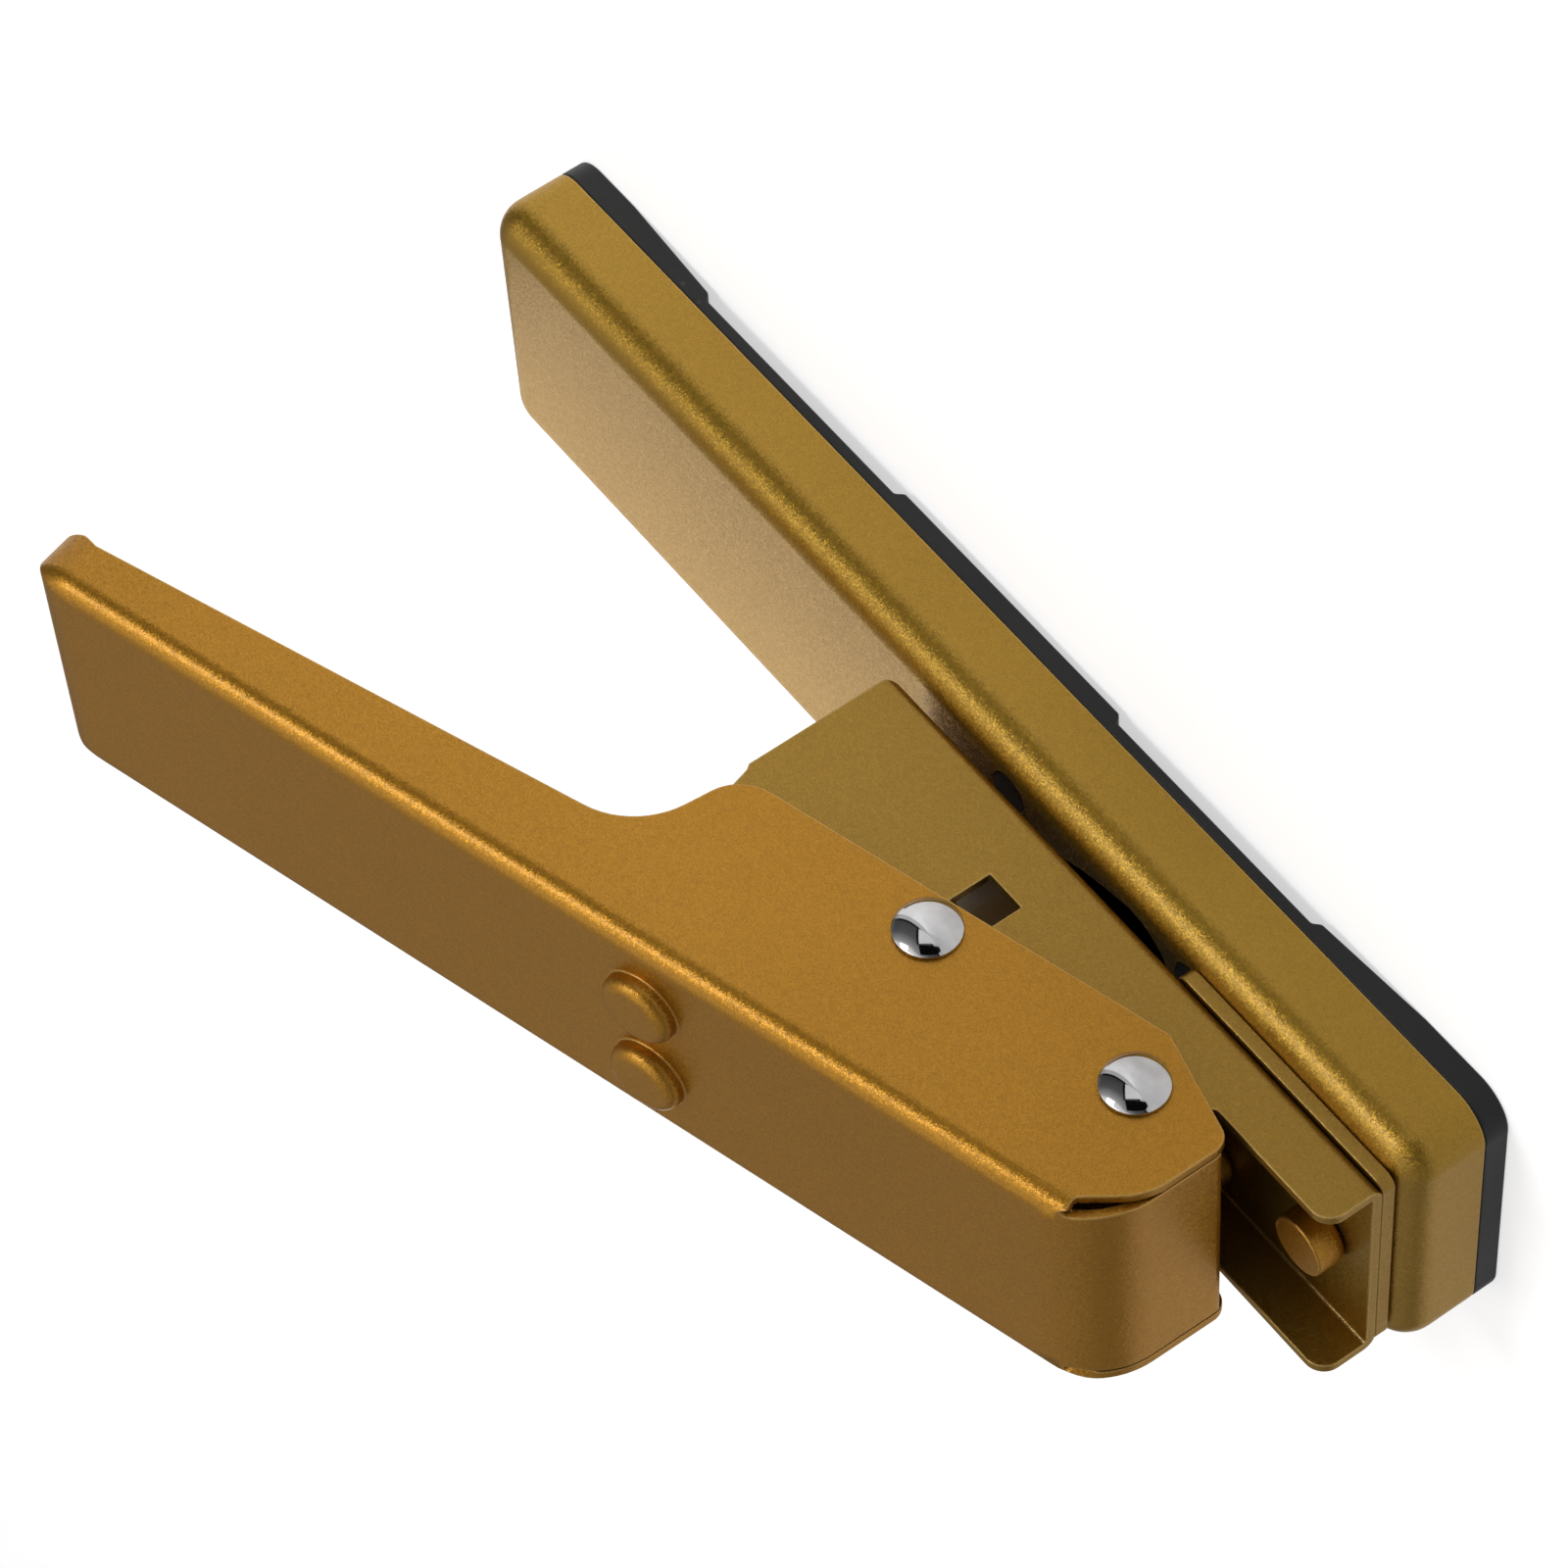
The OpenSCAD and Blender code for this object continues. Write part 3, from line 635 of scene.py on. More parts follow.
class Effects:
    """Node groups that several finishes share, each made once."""

    @staticmethod
    def _group(
        name: str, inputs: dict[str, float], outputs: dict[str, str]
    ) -> tuple[Nodes, dict[str, Socket], bpy.types.Node]:
        """Starts a group.

        Args:
            name: name of the group.
            inputs: names and default values of its float inputs.
            outputs: names of its outputs and what they carry, Float or Vector.

        Returns:
            The helper, the group's inputs by name, and its output node.
        """
        tree = bpy.data.node_groups.new(name, "ShaderNodeTree")
        for label, value in inputs.items():
            made = tree.interface.new_socket(label, in_out="INPUT", socket_type="NodeSocketFloat")
            made.default_value = value
        for label, kind in outputs.items():
            tree.interface.new_socket(label, in_out="OUTPUT", socket_type=f"NodeSocket{kind}")
        nodes = Nodes(tree)
        given = nodes.add("NodeGroupInput")
        return nodes, dict(given.outputs.items()), nodes.add("NodeGroupOutput")

    @cached_property
    def flakes(self) -> bpy.types.NodeTree:
        """Metal flakes in a paint: each small cell tilts the surface its own way.

        Returns:
            The group, with outputs Normal and Glint.
        """
        nodes, given, result = self._group(
            "metal_flakes", {"Size": 7000.0, "Tilt": 0.3}, {"Normal": "Vector", "Glint": "Float"}
        )
        cells = nodes.add(
            "ShaderNodeTexVoronoi", feature="F1", Randomness=1.0, Vector=nodes.here(), Scale=given["Size"]
        ).outputs["Color"]
        tilt = nodes.vectors("SCALE", nodes.vectors("SUBTRACT", cells, (0.5, 0.5, 0.5)), given["Tilt"])
        surface = nodes.add("ShaderNodeNewGeometry").outputs["Normal"]
        nodes.fill(
            result, Normal=nodes.vectors("NORMALIZE", nodes.vectors("ADD", surface, tilt)),
            Glint=nodes.add("ShaderNodeSeparateColor", Color=cells).outputs[0],
        )
        return nodes.tree

    @cached_property
    def specks(self) -> bpy.types.NodeTree:
        """Few small specks, such as dust or chips, at random places.

        Returns:
            The group, with the output Mask.
        """
        nodes, given, result = self._group(
            "specks", {"Scale": 260.0, "Size": 0.05, "Share": 0.1, "Seed": 0.0}, {"Mask": "Float"}
        )
        cells = nodes.add(
            "ShaderNodeTexVoronoi", voronoi_dimensions="4D", feature="F1", Randomness=1.0,
            Vector=nodes.here(), Scale=given["Scale"], W=given["Seed"],
        ).outputs
        shades = nodes.add("ShaderNodeSeparateColor", Color=cells["Color"]).outputs[0]
        chosen = nodes.maths("LESS_THAN", shades, given["Share"])
        near = nodes.maths("LESS_THAN", cells["Distance"], given["Size"])
        nodes.fill(result, Mask=nodes.times(chosen, near))
        return nodes.tree

    @cached_property
    def tone(self) -> bpy.types.NodeTree:
        """Slow change over a surface, with a finer one on it.

        Returns:
            The group, with outputs Broad and Fine.
        """
        nodes, given, result = self._group(
            "tone", {"Broad Scale": 30.0, "Fine Scale": 900.0}, {"Broad": "Float", "Fine": "Float"}
        )
        place = nodes.here()
        for label, detail in (("Broad", 2.0), ("Fine", 4.0)):
            noise = nodes.add(
                "ShaderNodeTexNoise", Detail=detail, Roughness=0.5,
                Vector=place, Scale=given[f"{label} Scale"],
            )
            nodes.fill(result, **{label: noise.outputs["Fac"]})
        return nodes.tree

    @cached_property
    def edges(self) -> bpy.types.NodeTree:
        """Cut edges of the sheet, where the coat is thin and rubbed, and where a painted highlight lightens
        the gold.

        Returns:
            The group, with the output Mask.
        """
        nodes, given, result = self._group("edge_wear", {"Radius": 0.0003, "Bend": 0.12}, {"Mask": "Float"})
        surface = nodes.add("ShaderNodeNewGeometry").outputs["Normal"]
        round_normal = nodes.add("ShaderNodeBevel", samples=4, Radius=given["Radius"]).outputs["Normal"]
        bend = nodes.maths("SUBTRACT", 1.0, nodes.vectors("DOT_PRODUCT", surface, round_normal))
        nodes.fill(result, Mask=nodes.maths("DIVIDE", bend, given["Bend"], clamp=True))
        return nodes.tree


# Finishes


def new_material(name: str) -> tuple[bpy.types.Material, Nodes, bpy.types.Node]:
    """Starts a material with its shader.

    Args:
        name: name of the material.

    Returns:
        The material, the helper of its tree, and its Principled shader.
    """
    material = bpy.data.materials.new(name)
    material.use_nodes = True
    material.node_tree.nodes.clear()
    nodes = Nodes(material.node_tree)
    shader = nodes.add("ShaderNodeBsdfPrincipled")
    nodes.add("ShaderNodeOutputMaterial", Surface=shader.outputs[0])
    return material, nodes, shader


@dataclass(frozen=True)
class Specks:
    """Specks in a coat: how densely they may lie, their size, how many there are, and their tint."""

    scale: float
    size: float
    share: float
    strength: float
    tint: Place


@dataclass(frozen=True)
class GoldCoat:
    """Baked gold coat with metal flakes on pressed steel, and a painted highlight on its cut edges."""

    name: str
    colour: Place
    deep: Place
    metallic: float = 0.92
    roughness: Flat = (0.36, 0.45)
    edge_tint: Place = (0.95, 0.8, 0.6)
    coat: float = 0.25
    coat_roughness: float = 0.25
    flake_scale: float = 7500.0
    flake_tilt: float = 0.25
    flake_glint: Flat = (0.88, 1.14)
    # brighter gold on the cut edges: rubbed coat, and a painted highlight of the rounded edges
    rubbed_and_highlight_share: float = 0.7
    rubbed_and_highlight_tint: Place = (0.85, 0.62, 0.25)
    dust: Specks = Specks(170.0, 0.03, 0.12, 0.5, (0.8, 0.7, 0.5))
    spots: Specks = Specks(60.0, 0.022, 0.2, 0.45, (0.12, 0.07, 0.02))
    seed: float = 0.0

    def make(self, effects: Effects) -> bpy.types.Material:
        """Builds the material.

        Args:
            effects: the shared node groups.

        Returns:
            The material.
        """
        material, nodes, shader = new_material(self.name)
        flakes = nodes.add(
            "ShaderNodeGroup", node_tree=effects.flakes, Size=self.flake_scale, Tilt=self.flake_tilt
        ).outputs
        tone = nodes.add(
            "ShaderNodeGroup", node_tree=effects.tone, Broad_Scale=28.0, Fine_Scale=1400.0
        ).outputs
        wear_and_highlight = nodes.add(
            "ShaderNodeGroup", node_tree=effects.edges, Radius=0.0003, Bend=0.12
        ).outputs["Mask"]
        colour = nodes.mix(nodes.remap(tone["Broad"], 0.3, 0.7), self.colour, self.deep)
        colour = nodes.vectors("SCALE", colour, nodes.remap(flakes["Glint"], 0.0, 1.0, *self.flake_glint))
        # lightens the cut edges: rubbed coat and a painted highlight
        colour = nodes.mix(nodes.times(wear_and_highlight, self.rubbed_and_highlight_share), colour, self.rubbed_and_highlight_tint)
        for kind, seed in ((self.dust, self.seed), (self.spots, self.seed + 3.0)):
            mask = nodes.add(
                "ShaderNodeGroup", node_tree=effects.specks,
                Scale=kind.scale, Size=kind.size, Share=kind.share, Seed=seed,
            ).outputs["Mask"]
            colour = nodes.mix(nodes.times(mask, kind.strength), colour, kind.tint)
        skin = nodes.add(
            "ShaderNodeBump", Strength=0.12, Distance=0.00006, Height=tone["Fine"], Normal=flakes["Normal"]
        )
        nodes.fill(
            shader, Base_Color=colour, Roughness=nodes.remap(tone["Fine"], 0.3, 0.7, *self.roughness),
            Metallic=self.metallic, Specular_Tint=self.edge_tint, Coat_Weight=self.coat,
            Coat_Roughness=self.coat_roughness, Normal=skin.outputs[0],
        )
        return material


@dataclass(frozen=True)
class BlackMoulding:
    """Satin black plastic with a fine texture and a few scuffs."""

    name: str
    colour: Place = (0.0085, 0.0088, 0.0092)
    roughness: Flat = (0.45, 0.58)
    scuffs: Specks = Specks(900.0, 0.25, 0.1, 0.35, (0.2, 0.2, 0.21))

    def make(self, effects: Effects) -> bpy.types.Material:
        """Builds the material.

        Args:
            effects: the shared node groups.

        Returns:
            The material.
        """
        material, nodes, shader = new_material(self.name)
        tone = nodes.add(
            "ShaderNodeGroup", node_tree=effects.tone, Broad_Scale=45.0, Fine_Scale=2600.0
        ).outputs
        scuffs = nodes.add(
            "ShaderNodeGroup", node_tree=effects.specks,
            Scale=self.scuffs.scale, Size=self.scuffs.size, Share=self.scuffs.share, Seed=5.0,
        ).outputs["Mask"]
        share = nodes.times(nodes.times(scuffs, nodes.remap(tone["Broad"], 0.5, 0.68)), self.scuffs.strength)
        grain = nodes.add("ShaderNodeBump", Strength=0.35, Distance=0.00008, Height=tone["Fine"])
        nodes.fill(
            shader, Base_Color=nodes.mix(share, self.colour, self.scuffs.tint),
            Roughness=nodes.remap(tone["Broad"], 0.3, 0.7, *self.roughness),
            Normal=grain.outputs[0], Specular_IOR_Level=0.4,
        )
        return material


@dataclass(frozen=True)
class BrightMetal:
    """Bare or plated metal with fine marks, darker in places."""

    name: str
    colour: Place
    roughness: float
    spread: float = 0.03
    marks: float = 0.06
    marks_scale: float = 700.0
    mottle_scale: float = 120.0
    mottle_share: float = 0.25
    mottle_dim: float = 0.7
    stretch: Place = (1.0, 1.0, 1.0)

    def make(self, effects: Effects) -> bpy.types.Material:
        """Builds the material.

        Args:
            effects: the shared node groups.

        Returns:
            The material.
        """
        material, nodes, shader = new_material(self.name)
        tone = nodes.add(
            "ShaderNodeGroup", node_tree=effects.tone,
            Broad_Scale=self.mottle_scale, Fine_Scale=self.marks_scale * 3,
        ).outputs["Broad"]
        drawn = nodes.add("ShaderNodeMapping", Scale=self.stretch, Vector=nodes.here()).outputs[0]
        lines = nodes.add(
            "ShaderNodeTexNoise", Scale=self.marks_scale, Detail=3.0, Roughness=0.55, Vector=drawn
        ).outputs["Fac"]
        darker = tuple(c * self.mottle_dim for c in self.colour)
        low, high = self.roughness - self.spread, self.roughness + self.spread
        bump = nodes.add("ShaderNodeBump", Strength=self.marks, Distance=0.00005, Height=lines)
        share = nodes.remap(tone, 0.3, 0.7, 0.0, self.mottle_share)
        nodes.fill(
            shader, Base_Color=nodes.mix(share, self.colour, darker),
            Roughness=nodes.remap(lines, 0.3, 0.7, low, high), Metallic=1.0, Normal=bump.outputs[0],
        )
        return material


class Finish(Enum):
    """The finishes of the part."""

    HANDLE_GOLD = GoldCoat("handle_gold", (0.43, 0.203, 0.018), (0.4, 0.187, 0.015), seed=1.0)
    FRAME_GOLD = GoldCoat("frame_gold", (0.325, 0.188, 0.027), (0.3, 0.172, 0.024), seed=2.0)
    TRAY_GOLD = GoldCoat(
        "tray_gold", (0.39, 0.225, 0.024), (0.36, 0.205, 0.021), coat=0.35, coat_roughness=0.28, seed=4.0
    )
    COVER_BLACK = BlackMoulding("cover_black")
    CHROME = BrightMetal(
        "chrome", (0.64, 0.63, 0.635), 0.06, spread=0.02, marks=0.02, marks_scale=500.0,
        mottle_scale=420.0, mottle_share=0.7,
    )
    PLATED = BrightMetal("plated_steel", (0.52, 0.51, 0.49), 0.34, marks=0.1)
    DIE_STEEL = BrightMetal("die_steel", (0.4, 0.4, 0.41), 0.3, marks=0.12, stretch=(1.0, 8.0, 8.0))
    SPRING_STEEL = BrightMetal("spring_steel", (0.5, 0.5, 0.5), 0.25, marks=0.1, stretch=(4.0, 4.0, 1.0))
    # black steel of the die screws, and painted shade on the punch carrier, which the frame's window shows
    BLACK_AND_PAINTED_SHADE = BrightMetal("screw_black_and_painted_shade", (0.08, 0.08, 0.085), 0.4, marks=0.1)


@dataclass
class Paintshop:
    """Makes each finish once, puts it on pieces and sets them on their bodies."""

    effects: Effects = field(default_factory=Effects)
    made: dict[Finish, bpy.types.Material] = field(default_factory=dict)

    def material(self, finish: Finish) -> bpy.types.Material:
        """The material of a finish."""
        if finish not in self.made:
            self.made[finish] = finish.value.make(self.effects)
        return self.made[finish]

    def coat_node(self, node: str, finish: Finish) -> None:
        """Puts a finish in the material slots of a CAD node.

        Args:
            node: name of the node.
            finish: its finish.
        """
        carried = frame["nodes"][node]
        if not carried.material_slots:
            carried.data.materials.append(self.material(finish))
        for slot in carried.material_slots:
            slot.material = self.material(finish)
        log.info("%s: CAD node in %s", node, finish.name)

    def hand_over(self, piece: Piece, finish: Finish, body: str, slot: str, *nodes: str) -> None:
        """Puts a finished piece in metres, gives it its finish and sets it on its body.

        Args:
            piece: the piece, modelled in millimetres.
            finish: its finish.
            body: the body that it rides on.
            slot: the record's material slot; not used.
            nodes: the CAD nodes that it stands for.
        """
        only(piece)
        piece.scale = (MILLIMETRE,) * 3
        bake_place()
        piece.data.materials.clear()
        piece.data.materials.append(self.material(finish))
        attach(piece, body)
        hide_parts(*nodes)
        piece.data.calc_loop_triangles()
        count = len(piece.data.loop_triangles)
        log.info("%s: %d triangles on %s for %s", piece.name, count, body, ", ".join(nodes))


# Sub-assemblies


@dataclass
class Levels:
    """Heights and places that several sub-assemblies share, in millimetres."""

    rim: float = 3.05
    deck: float = 12.95
    frame: float = 14.65
    floor: float = 15.85
    wall_top: float = 41.2
    pivot: Flat = (-54.5, 27.0)
    drive: Flat = (-26.80, 31.98)
    bore_r: float = 1.8
    rivets: tuple[Flat, ...] = ((-71.4, 0.0), (-54.0, -8.0), (-54.0, 8.0))
    rivet_bore_r: float = 1.65
    screws: tuple[Flat, ...] = ((-45.7, -11.2), (-45.7, 11.2), (-15.2, -11.2), (-15.2, 11.2))
    screw_bore_r: float = 2.55

    def drill_for_rivets(self, piece: Piece, level: float, length: float) -> None:
        """Drills the holes of the three rivets through frame, throat plate and tray, about a level."""
        for x, y in self.rivets:
            drill(piece, (x, y, level), self.rivet_bore_r, length, Axis.UP)


@dataclass
class Assembly:
    """What every sub-assembly knows: the shared places and the paint shop."""

    levels: Levels
    shop: Paintshop


@dataclass
class Base(Assembly):
    """Drawn tray with the black cover that closes it and carries the feet."""

    pick: Pick
    half_length: float = 80.2
    half_width: float = 18.3
    sheet: float = 1.2
    corner_r: float = 4.6
    fold_r: float = 4.2
    deck_half: Flat = (75.0, 13.5)
    nose_foot: float = 29.2
    rear_foot: float = 27.0
    skirt_drop: float = 1.4
    middle_drop: float = 2.3
    middle_half: float = 18.4
    sole_rise: float = 0.9
    sole_slope: float = 16.0
    foot_ramp: float = 0.8
    pocket_wall: float = 4.8
    pocket_floor: float = 1.8
    lip_height: float = 3.6
    lip_wall: float = 1.4
    lip_fit: float = 0.12

    def tray(self) -> None:
        """Models the tray: a rounded block with its holes, which loses its underside and becomes a sheet."""
        x, y, top = self.half_length, self.half_width, self.levels.deck
        piece = start_block("tray_pressing", (-x, -y, self.levels.rim), (x, y, top))
        round_edges(piece, self.corner_r, 12, upright)
        round_edges(piece, self.fold_r - 0.001, 12, lambda m, d: m.z > top - HAIR)
        combine(piece, outline_plate("pick_hole", self.pick.hole(), 8, top + 5, Axis.UP), Cut.REMOVE)
        self.levels.drill_for_rivets(piece, top, 8)
        for place in self.levels.screws:
            drill(piece, (*place, top), self.levels.screw_bore_r, 8, Axis.UP)
        deck_x, deck_y = self.deck_half
        drop_faces(
            piece, lambda m, n: n.z < -0.5 or (abs(m.y) < deck_y and abs(m.x) < deck_x and m.z < top - HAIR)
        )
        split(piece, (0, 0, 0), (0, 1, 0))
        for hole_x in sorted({place[0] for place in (*self.levels.rivets, *self.levels.screws)}):
            split(piece, (hole_x, 0, 0), (1, 0, 0))
        give_sheet(piece, self.sheet, 0.03)
        soften(piece, 0.14)
        shade(piece, 50)
        self.shop.hand_over(piece, Finish.TRAY_GOLD, "base", "gold_coat", "base_tray")

    def lip(self) -> Piece:
        """Models the lip of the cover, which stands up inside the tray.

        Returns:
            The lip.
        """
        x, y, rim = self.half_length, self.half_width, self.levels.rim
        outer = self.sheet + self.lip_fit
        inner = outer + self.lip_wall
        top = rim + self.lip_height
        lip = start_block("lip", (outer - x, outer - y, rim - HAIR), (x - outer, y - outer, top))
        round_edges(lip, self.corner_r - outer, 8, upright)
        inside = start_block("lip_inside", (inner - x, inner - y, rim - 1), (x - inner, y - inner, FAR))
        round_edges(inside, self.corner_r - inner, 8, upright)
        combine(lip, inside, Cut.REMOVE)
        return lip

    def cover(self) -> None:
        """Models the moulded cover with its feet and their pockets."""
        x, y, rim = self.half_length, self.half_width, self.levels.rim
        nose, rear = self.nose_foot - x, x - self.rear_foot
        skirt, middle = rim - self.skirt_drop, rim - self.middle_drop
        half, ramp, rise, beyond = self.middle_half, self.foot_ramp, self.sole_rise, x * 1.2
        side = [
            (-beyond, 0), (nose - self.sole_slope, 0), (nose - ramp, rise), (nose, skirt),
            (-half - ramp, skirt), (-half, middle), (half, middle), (half + ramp, skirt),
            (rear, skirt), (rear + ramp, rise), (rear + self.sole_slope, 0),
            (beyond, 0), (beyond, rim), (-beyond, rim),
        ]
        piece = start_block("cover_moulding", (-x, -y, -5), (x, y, rim))
        round_edges(piece, self.corner_r, 12, upright)
        combine(piece, outline_plate("side_view", side, -FAR, FAR, Axis.ACROSS), Cut.KEEP_SHARED)
        wall, length = self.pocket_wall, self.rear_foot
        for end in (-1, 1):
            low = end * (x - length / 2) - (length - wall) / 2
            pocket = start_block(
                "pocket", (low, wall - y, self.pocket_floor), (low + length - wall, y - wall, rim + 5)
            )
            combine(piece, pocket, Cut.REMOVE)
        soften(piece, 0.3, 3, 25)
        combine(piece, self.lip(), Cut.JOIN)
        shade(piece, 30)
        self.shop.hand_over(piece, Finish.COVER_BLACK, "cover", "black_cover", "base_cover")


@dataclass
class Channel(Assembly):
    """Pressed frame on its throat plate, and the rivet at the nose."""

    pick: Pick
    front: float = -78.3
    rear: float = 2.2
    half_width: float = 15.0
    sheet: float = 1.2
    fold_r: float = 1.5
    nose_wall: float = 7.2
    skin_half: float = 13.4
    plate_length: float = 32.6
    window_low: Flat = (-29.6, 22.25)
    window_high: Flat = (-24.4, 34.13)
    spring_seat: Place = (-7.0, 6.4, 15.85)

    def outline(self) -> list[Flat]:
        """Side view of a wall, with the pivot's place as its measure.

        Returns:
            The points of the outline.
        """
        px, pz = self.levels.pivot
        low, top, nose_top = self.levels.frame, self.levels.wall_top, self.levels.frame + self.nose_wall
        return rounded([
            (self.front, low, 0), (self.rear, low, 1.7), (self.rear, pz + 6.45, 0),
            (self.rear - 0.45, pz + 7.05, 0), (self.rear - 2.5, top, 3), (px - 2, top, 3),
            (px - 5.4, pz + 4, 3), (px - 6, nose_top, 1.0), (self.front, nose_top, 2.4),
        ], 8)

    def pressing(self) -> None:
        """Models the frame: a folded block cut to its side view loses its inside and becomes a sheet."""
        low, half, (px, pz) = self.levels.frame, self.half_width, self.levels.pivot
        piece = start_block("frame_pressing", (self.front - 20, -half, low), (self.rear + 20, half, FAR))
        round_edges(piece, self.fold_r, 6, lambda m, d: m.z < low + HAIR and abs(d.x) > 0.9)
        combine(piece, outline_plate("side_view", self.outline(), -FAR, FAR, Axis.ACROSS), Cut.KEEP_SHARED)
        (x0, z0), (x1, z1) = self.window_low, self.window_high
        combine(piece, start_block("window", (x0, -FAR, z0), (x1, FAR, z1)), Cut.REMOVE)
        drill(piece, (px, 0, pz), self.levels.bore_r, 2 * FAR, Axis.ACROSS)
        combine(piece, outline_plate("pick_hole", self.pick.hole(), low - 5, low + 3, Axis.UP), Cut.REMOVE)
        self.levels.drill_for_rivets(piece, low, 6)

        def spare(m: Vector, n: Vector) -> bool:
            """Whether a face is a cut edge or lies inside, and is no part of the skin."""
            underside = m.z < low + HAIR and n.z < -0.9
            return not underside and (abs(n.y) < 0.05 or abs(m.y) < self.skin_half)

        drop_faces(piece, spare)
        give_sheet(piece, self.sheet, 0.13)
        x, y, z = self.spring_seat
        for side in (-y, y):
            boss = turned("boss", (x, side, z), UP, [(2.4, -0.5), (2.4, 0.0), (2.3, 0.5), (2.0, 1.3)], 32)
            combine(piece, boss, Cut.JOIN)
        soften(piece, 0.13)
        shade(piece, 50)
        self.shop.hand_over(piece, Finish.FRAME_GOLD, "base", "gold_coat", "frame")

    def throat(self) -> None:
        """Models the plate that sets the height of the throat."""
        low, half = self.levels.deck, self.half_width
        far_corner = (self.front + self.plate_length, half, self.levels.frame)
        piece = start_block("throat_strip", (self.front, -half, low), far_corner)
        round_edges(piece, 1.5, 6, upright)
        self.levels.drill_for_rivets(piece, low, 8)
        soften(piece, 0.2, 3)
        shade(piece, 38)
        self.shop.hand_over(piece, Finish.FRAME_GOLD, "base", "gold_coat", "throat_plate")

    def rivet(self) -> None:
        """Models the rivet at the nose, from the tail under the deck to its head on the frame floor."""
        floor, under = self.levels.floor, self.levels.deck - self.sheet
        round_foot = [(r, floor + 1.2 + z) for r, z in arc((2.4, 0), 1.2, -90, 0, 18)]
        round_head = [(r, floor + 3.5 + z) for r, z in arc((3.3, 0), 0.3, 0, 90, 30)]
        profile = [
            (2.8, under - 1.2), (3.0, under - 1.0), (3.0, under), (1.6, under), (1.6, floor),
            *round_foot, *round_head, (2.9, floor + 3.72),
        ]
        piece = turned("nose_rivet_head", (*self.levels.rivets[0], 0), UP, profile, 64)
        shade(piece, 38)
        self.shop.hand_over(piece, Finish.HANDLE_GOLD, "base", "gold_coat", "nose_rivet")


@dataclass
class Handle(Assembly):
    """Pressed handle. It is modelled in its own space: origin at the pivot, x along the web to the rear."""

    open_angle: float = 15.9
    rear: float = 136.2
    web: float = 16.4
    drop: float = 7.0
    reach: float = 11.5
    nose_slope: float = 29.3
    bend_r: float = 10.2
    bend_x: float = 1.0
    tongue_half: float = 15.0
    half_width: float = 16.5
    sheet: float = 1.2
    fold_r: float = 2.5
    corner_r: float = 7.0
    rear_r: float = 6.6
    rear_height: float = 6.6
    ear_drop: float = 0.7
    gap_half: float = 0.14
    split_y: float = 13.2
    dimple_x: float = 50.6
    dimple_y: float = 6.4
    dimple_r: float = 4.75
    dimple_height: float = 2.1
    dimple_foot_r: float = 0.22
    drive: Flat = (28.0, -2.8)

    def outline(self) -> list[Flat]:
        """Side view of the handle.

        Returns:
            The points of the outline.
        """
        foot = (-self.reach, (self.reach + 0.7) * math.tan(math.radians(self.nose_slope)) - self.drop)
        middle = (self.bend_x, self.web - self.bend_r)
        away = Vector(foot) - Vector(middle)
        end = math.degrees(math.atan2(away.y, away.x) - math.acos(self.bend_r / away.length)) + 360
        bend = arc(middle, self.bend_r, end, 90, 4)
        edge = self.web - self.rear_height
        under = rounded([
            (self.rear, edge - self.ear_drop, 0), (self.rear - 4, edge - self.ear_drop, 1.5),
            (self.rear - 6.3, edge, 1.5), (60.0, 5.1, 9.8), (55.3, -self.drop, 5.5), (0.7, -self.drop, 0.8),
            (*foot, 2.2), (*bend[0], 0),
        ])[:-1]
        return under + bend + corner((0, self.web), (self.rear, self.web), (self.rear, edge), self.rear_r)

    def setback(self) -> list[Flat]:
        """Side view of the space in front of the near flange, which stops short of the nose tongue.

        Returns:
            The points of the outline.
        """
        turn = (-7.9, self.web - 6.1)
        end = (turn[0] - 1.5, turn[1] - 2.9)
        before = -self.reach - 1
        return rounded([
            (-2.9, self.web + 1, 0), (-2.9, self.web - 2.3, 1.0), (*turn, 7), (*end, 0),
            (before, end[1], 0), (before, self.web + 1, 0),
        ], 7)

    def slit(self, side: int) -> list[Flat]:
        """Plan of a slit beside the nose tongue: a drop-shaped relief that runs out into a narrow gap.

        Args:
            side: -1 for the near side, 1 for the far side.

        Returns:
            The points of the plan.
        """
        y, gap = self.tongue_half + 0.14, self.gap_half
        half = [
            (-2.3, 0.0), (-2.42, 0.26), (-2.75, 0.42), (-3.4, 0.45), (-4.5, 0.36), (-5.8, 0.22),
            (-7.4, gap), (-FAR, gap),
        ]
        far = [(x, y + d * 0.6) for x, d in half]
        near = [(x, y - d) for x, d in reversed(half[1:])]
        return [(x, side * d) for x, d in far + near]

    def from_dimple(self, m: Vector) -> float:
        """Distance of a point from the axis of the dimple on its side."""
        return math.hypot(m.x - self.dimple_x, abs(m.y) - self.dimple_y)

    def dimple_skin(self, level: float, radius: float, edge: float) -> list[Flat]:
        """Profile of one face of a dimple, from its foot to its middle.

        Args:
            level: level of the foot.
            radius: radius of the wall.
            edge: radius of the upper edge.

        Returns:
            Stations of (radius, height).
        """
        height, bend = level + self.dimple_height, self.dimple_foot_r
        foot = [(r, level + bend + z) for r, z in arc((radius + bend, 0), bend, -90, -180, 22.5)]
        top = [(r, height - edge + z) for r, z in arc((radius - edge, 0), edge, 0, 90, 15)]
        return [(self.dimple_r, level), *foot, *top, (1.2, height + 0.01)]

    def draw_up(self, piece: Piece, y: float, profile: Sequence[Flat]) -> None:
        """Extrudes the rim of a dimple's hole along a profile and closes it with its flat top.

        Args:
            piece: the handle sheet.
            y: place of the hole across the handle.
            profile: stations of (radius, height), the first on the rim.
        """
        (radius, height), x = profile[0], self.dimple_x

        def on_rim(m: Vector, d: Vector) -> bool:
            """Whether an edge is part of the rim."""
            return abs(m.z - height) < HAIR and radius - 0.06 < math.hypot(m.x - x, m.y - y) < radius + 0.005

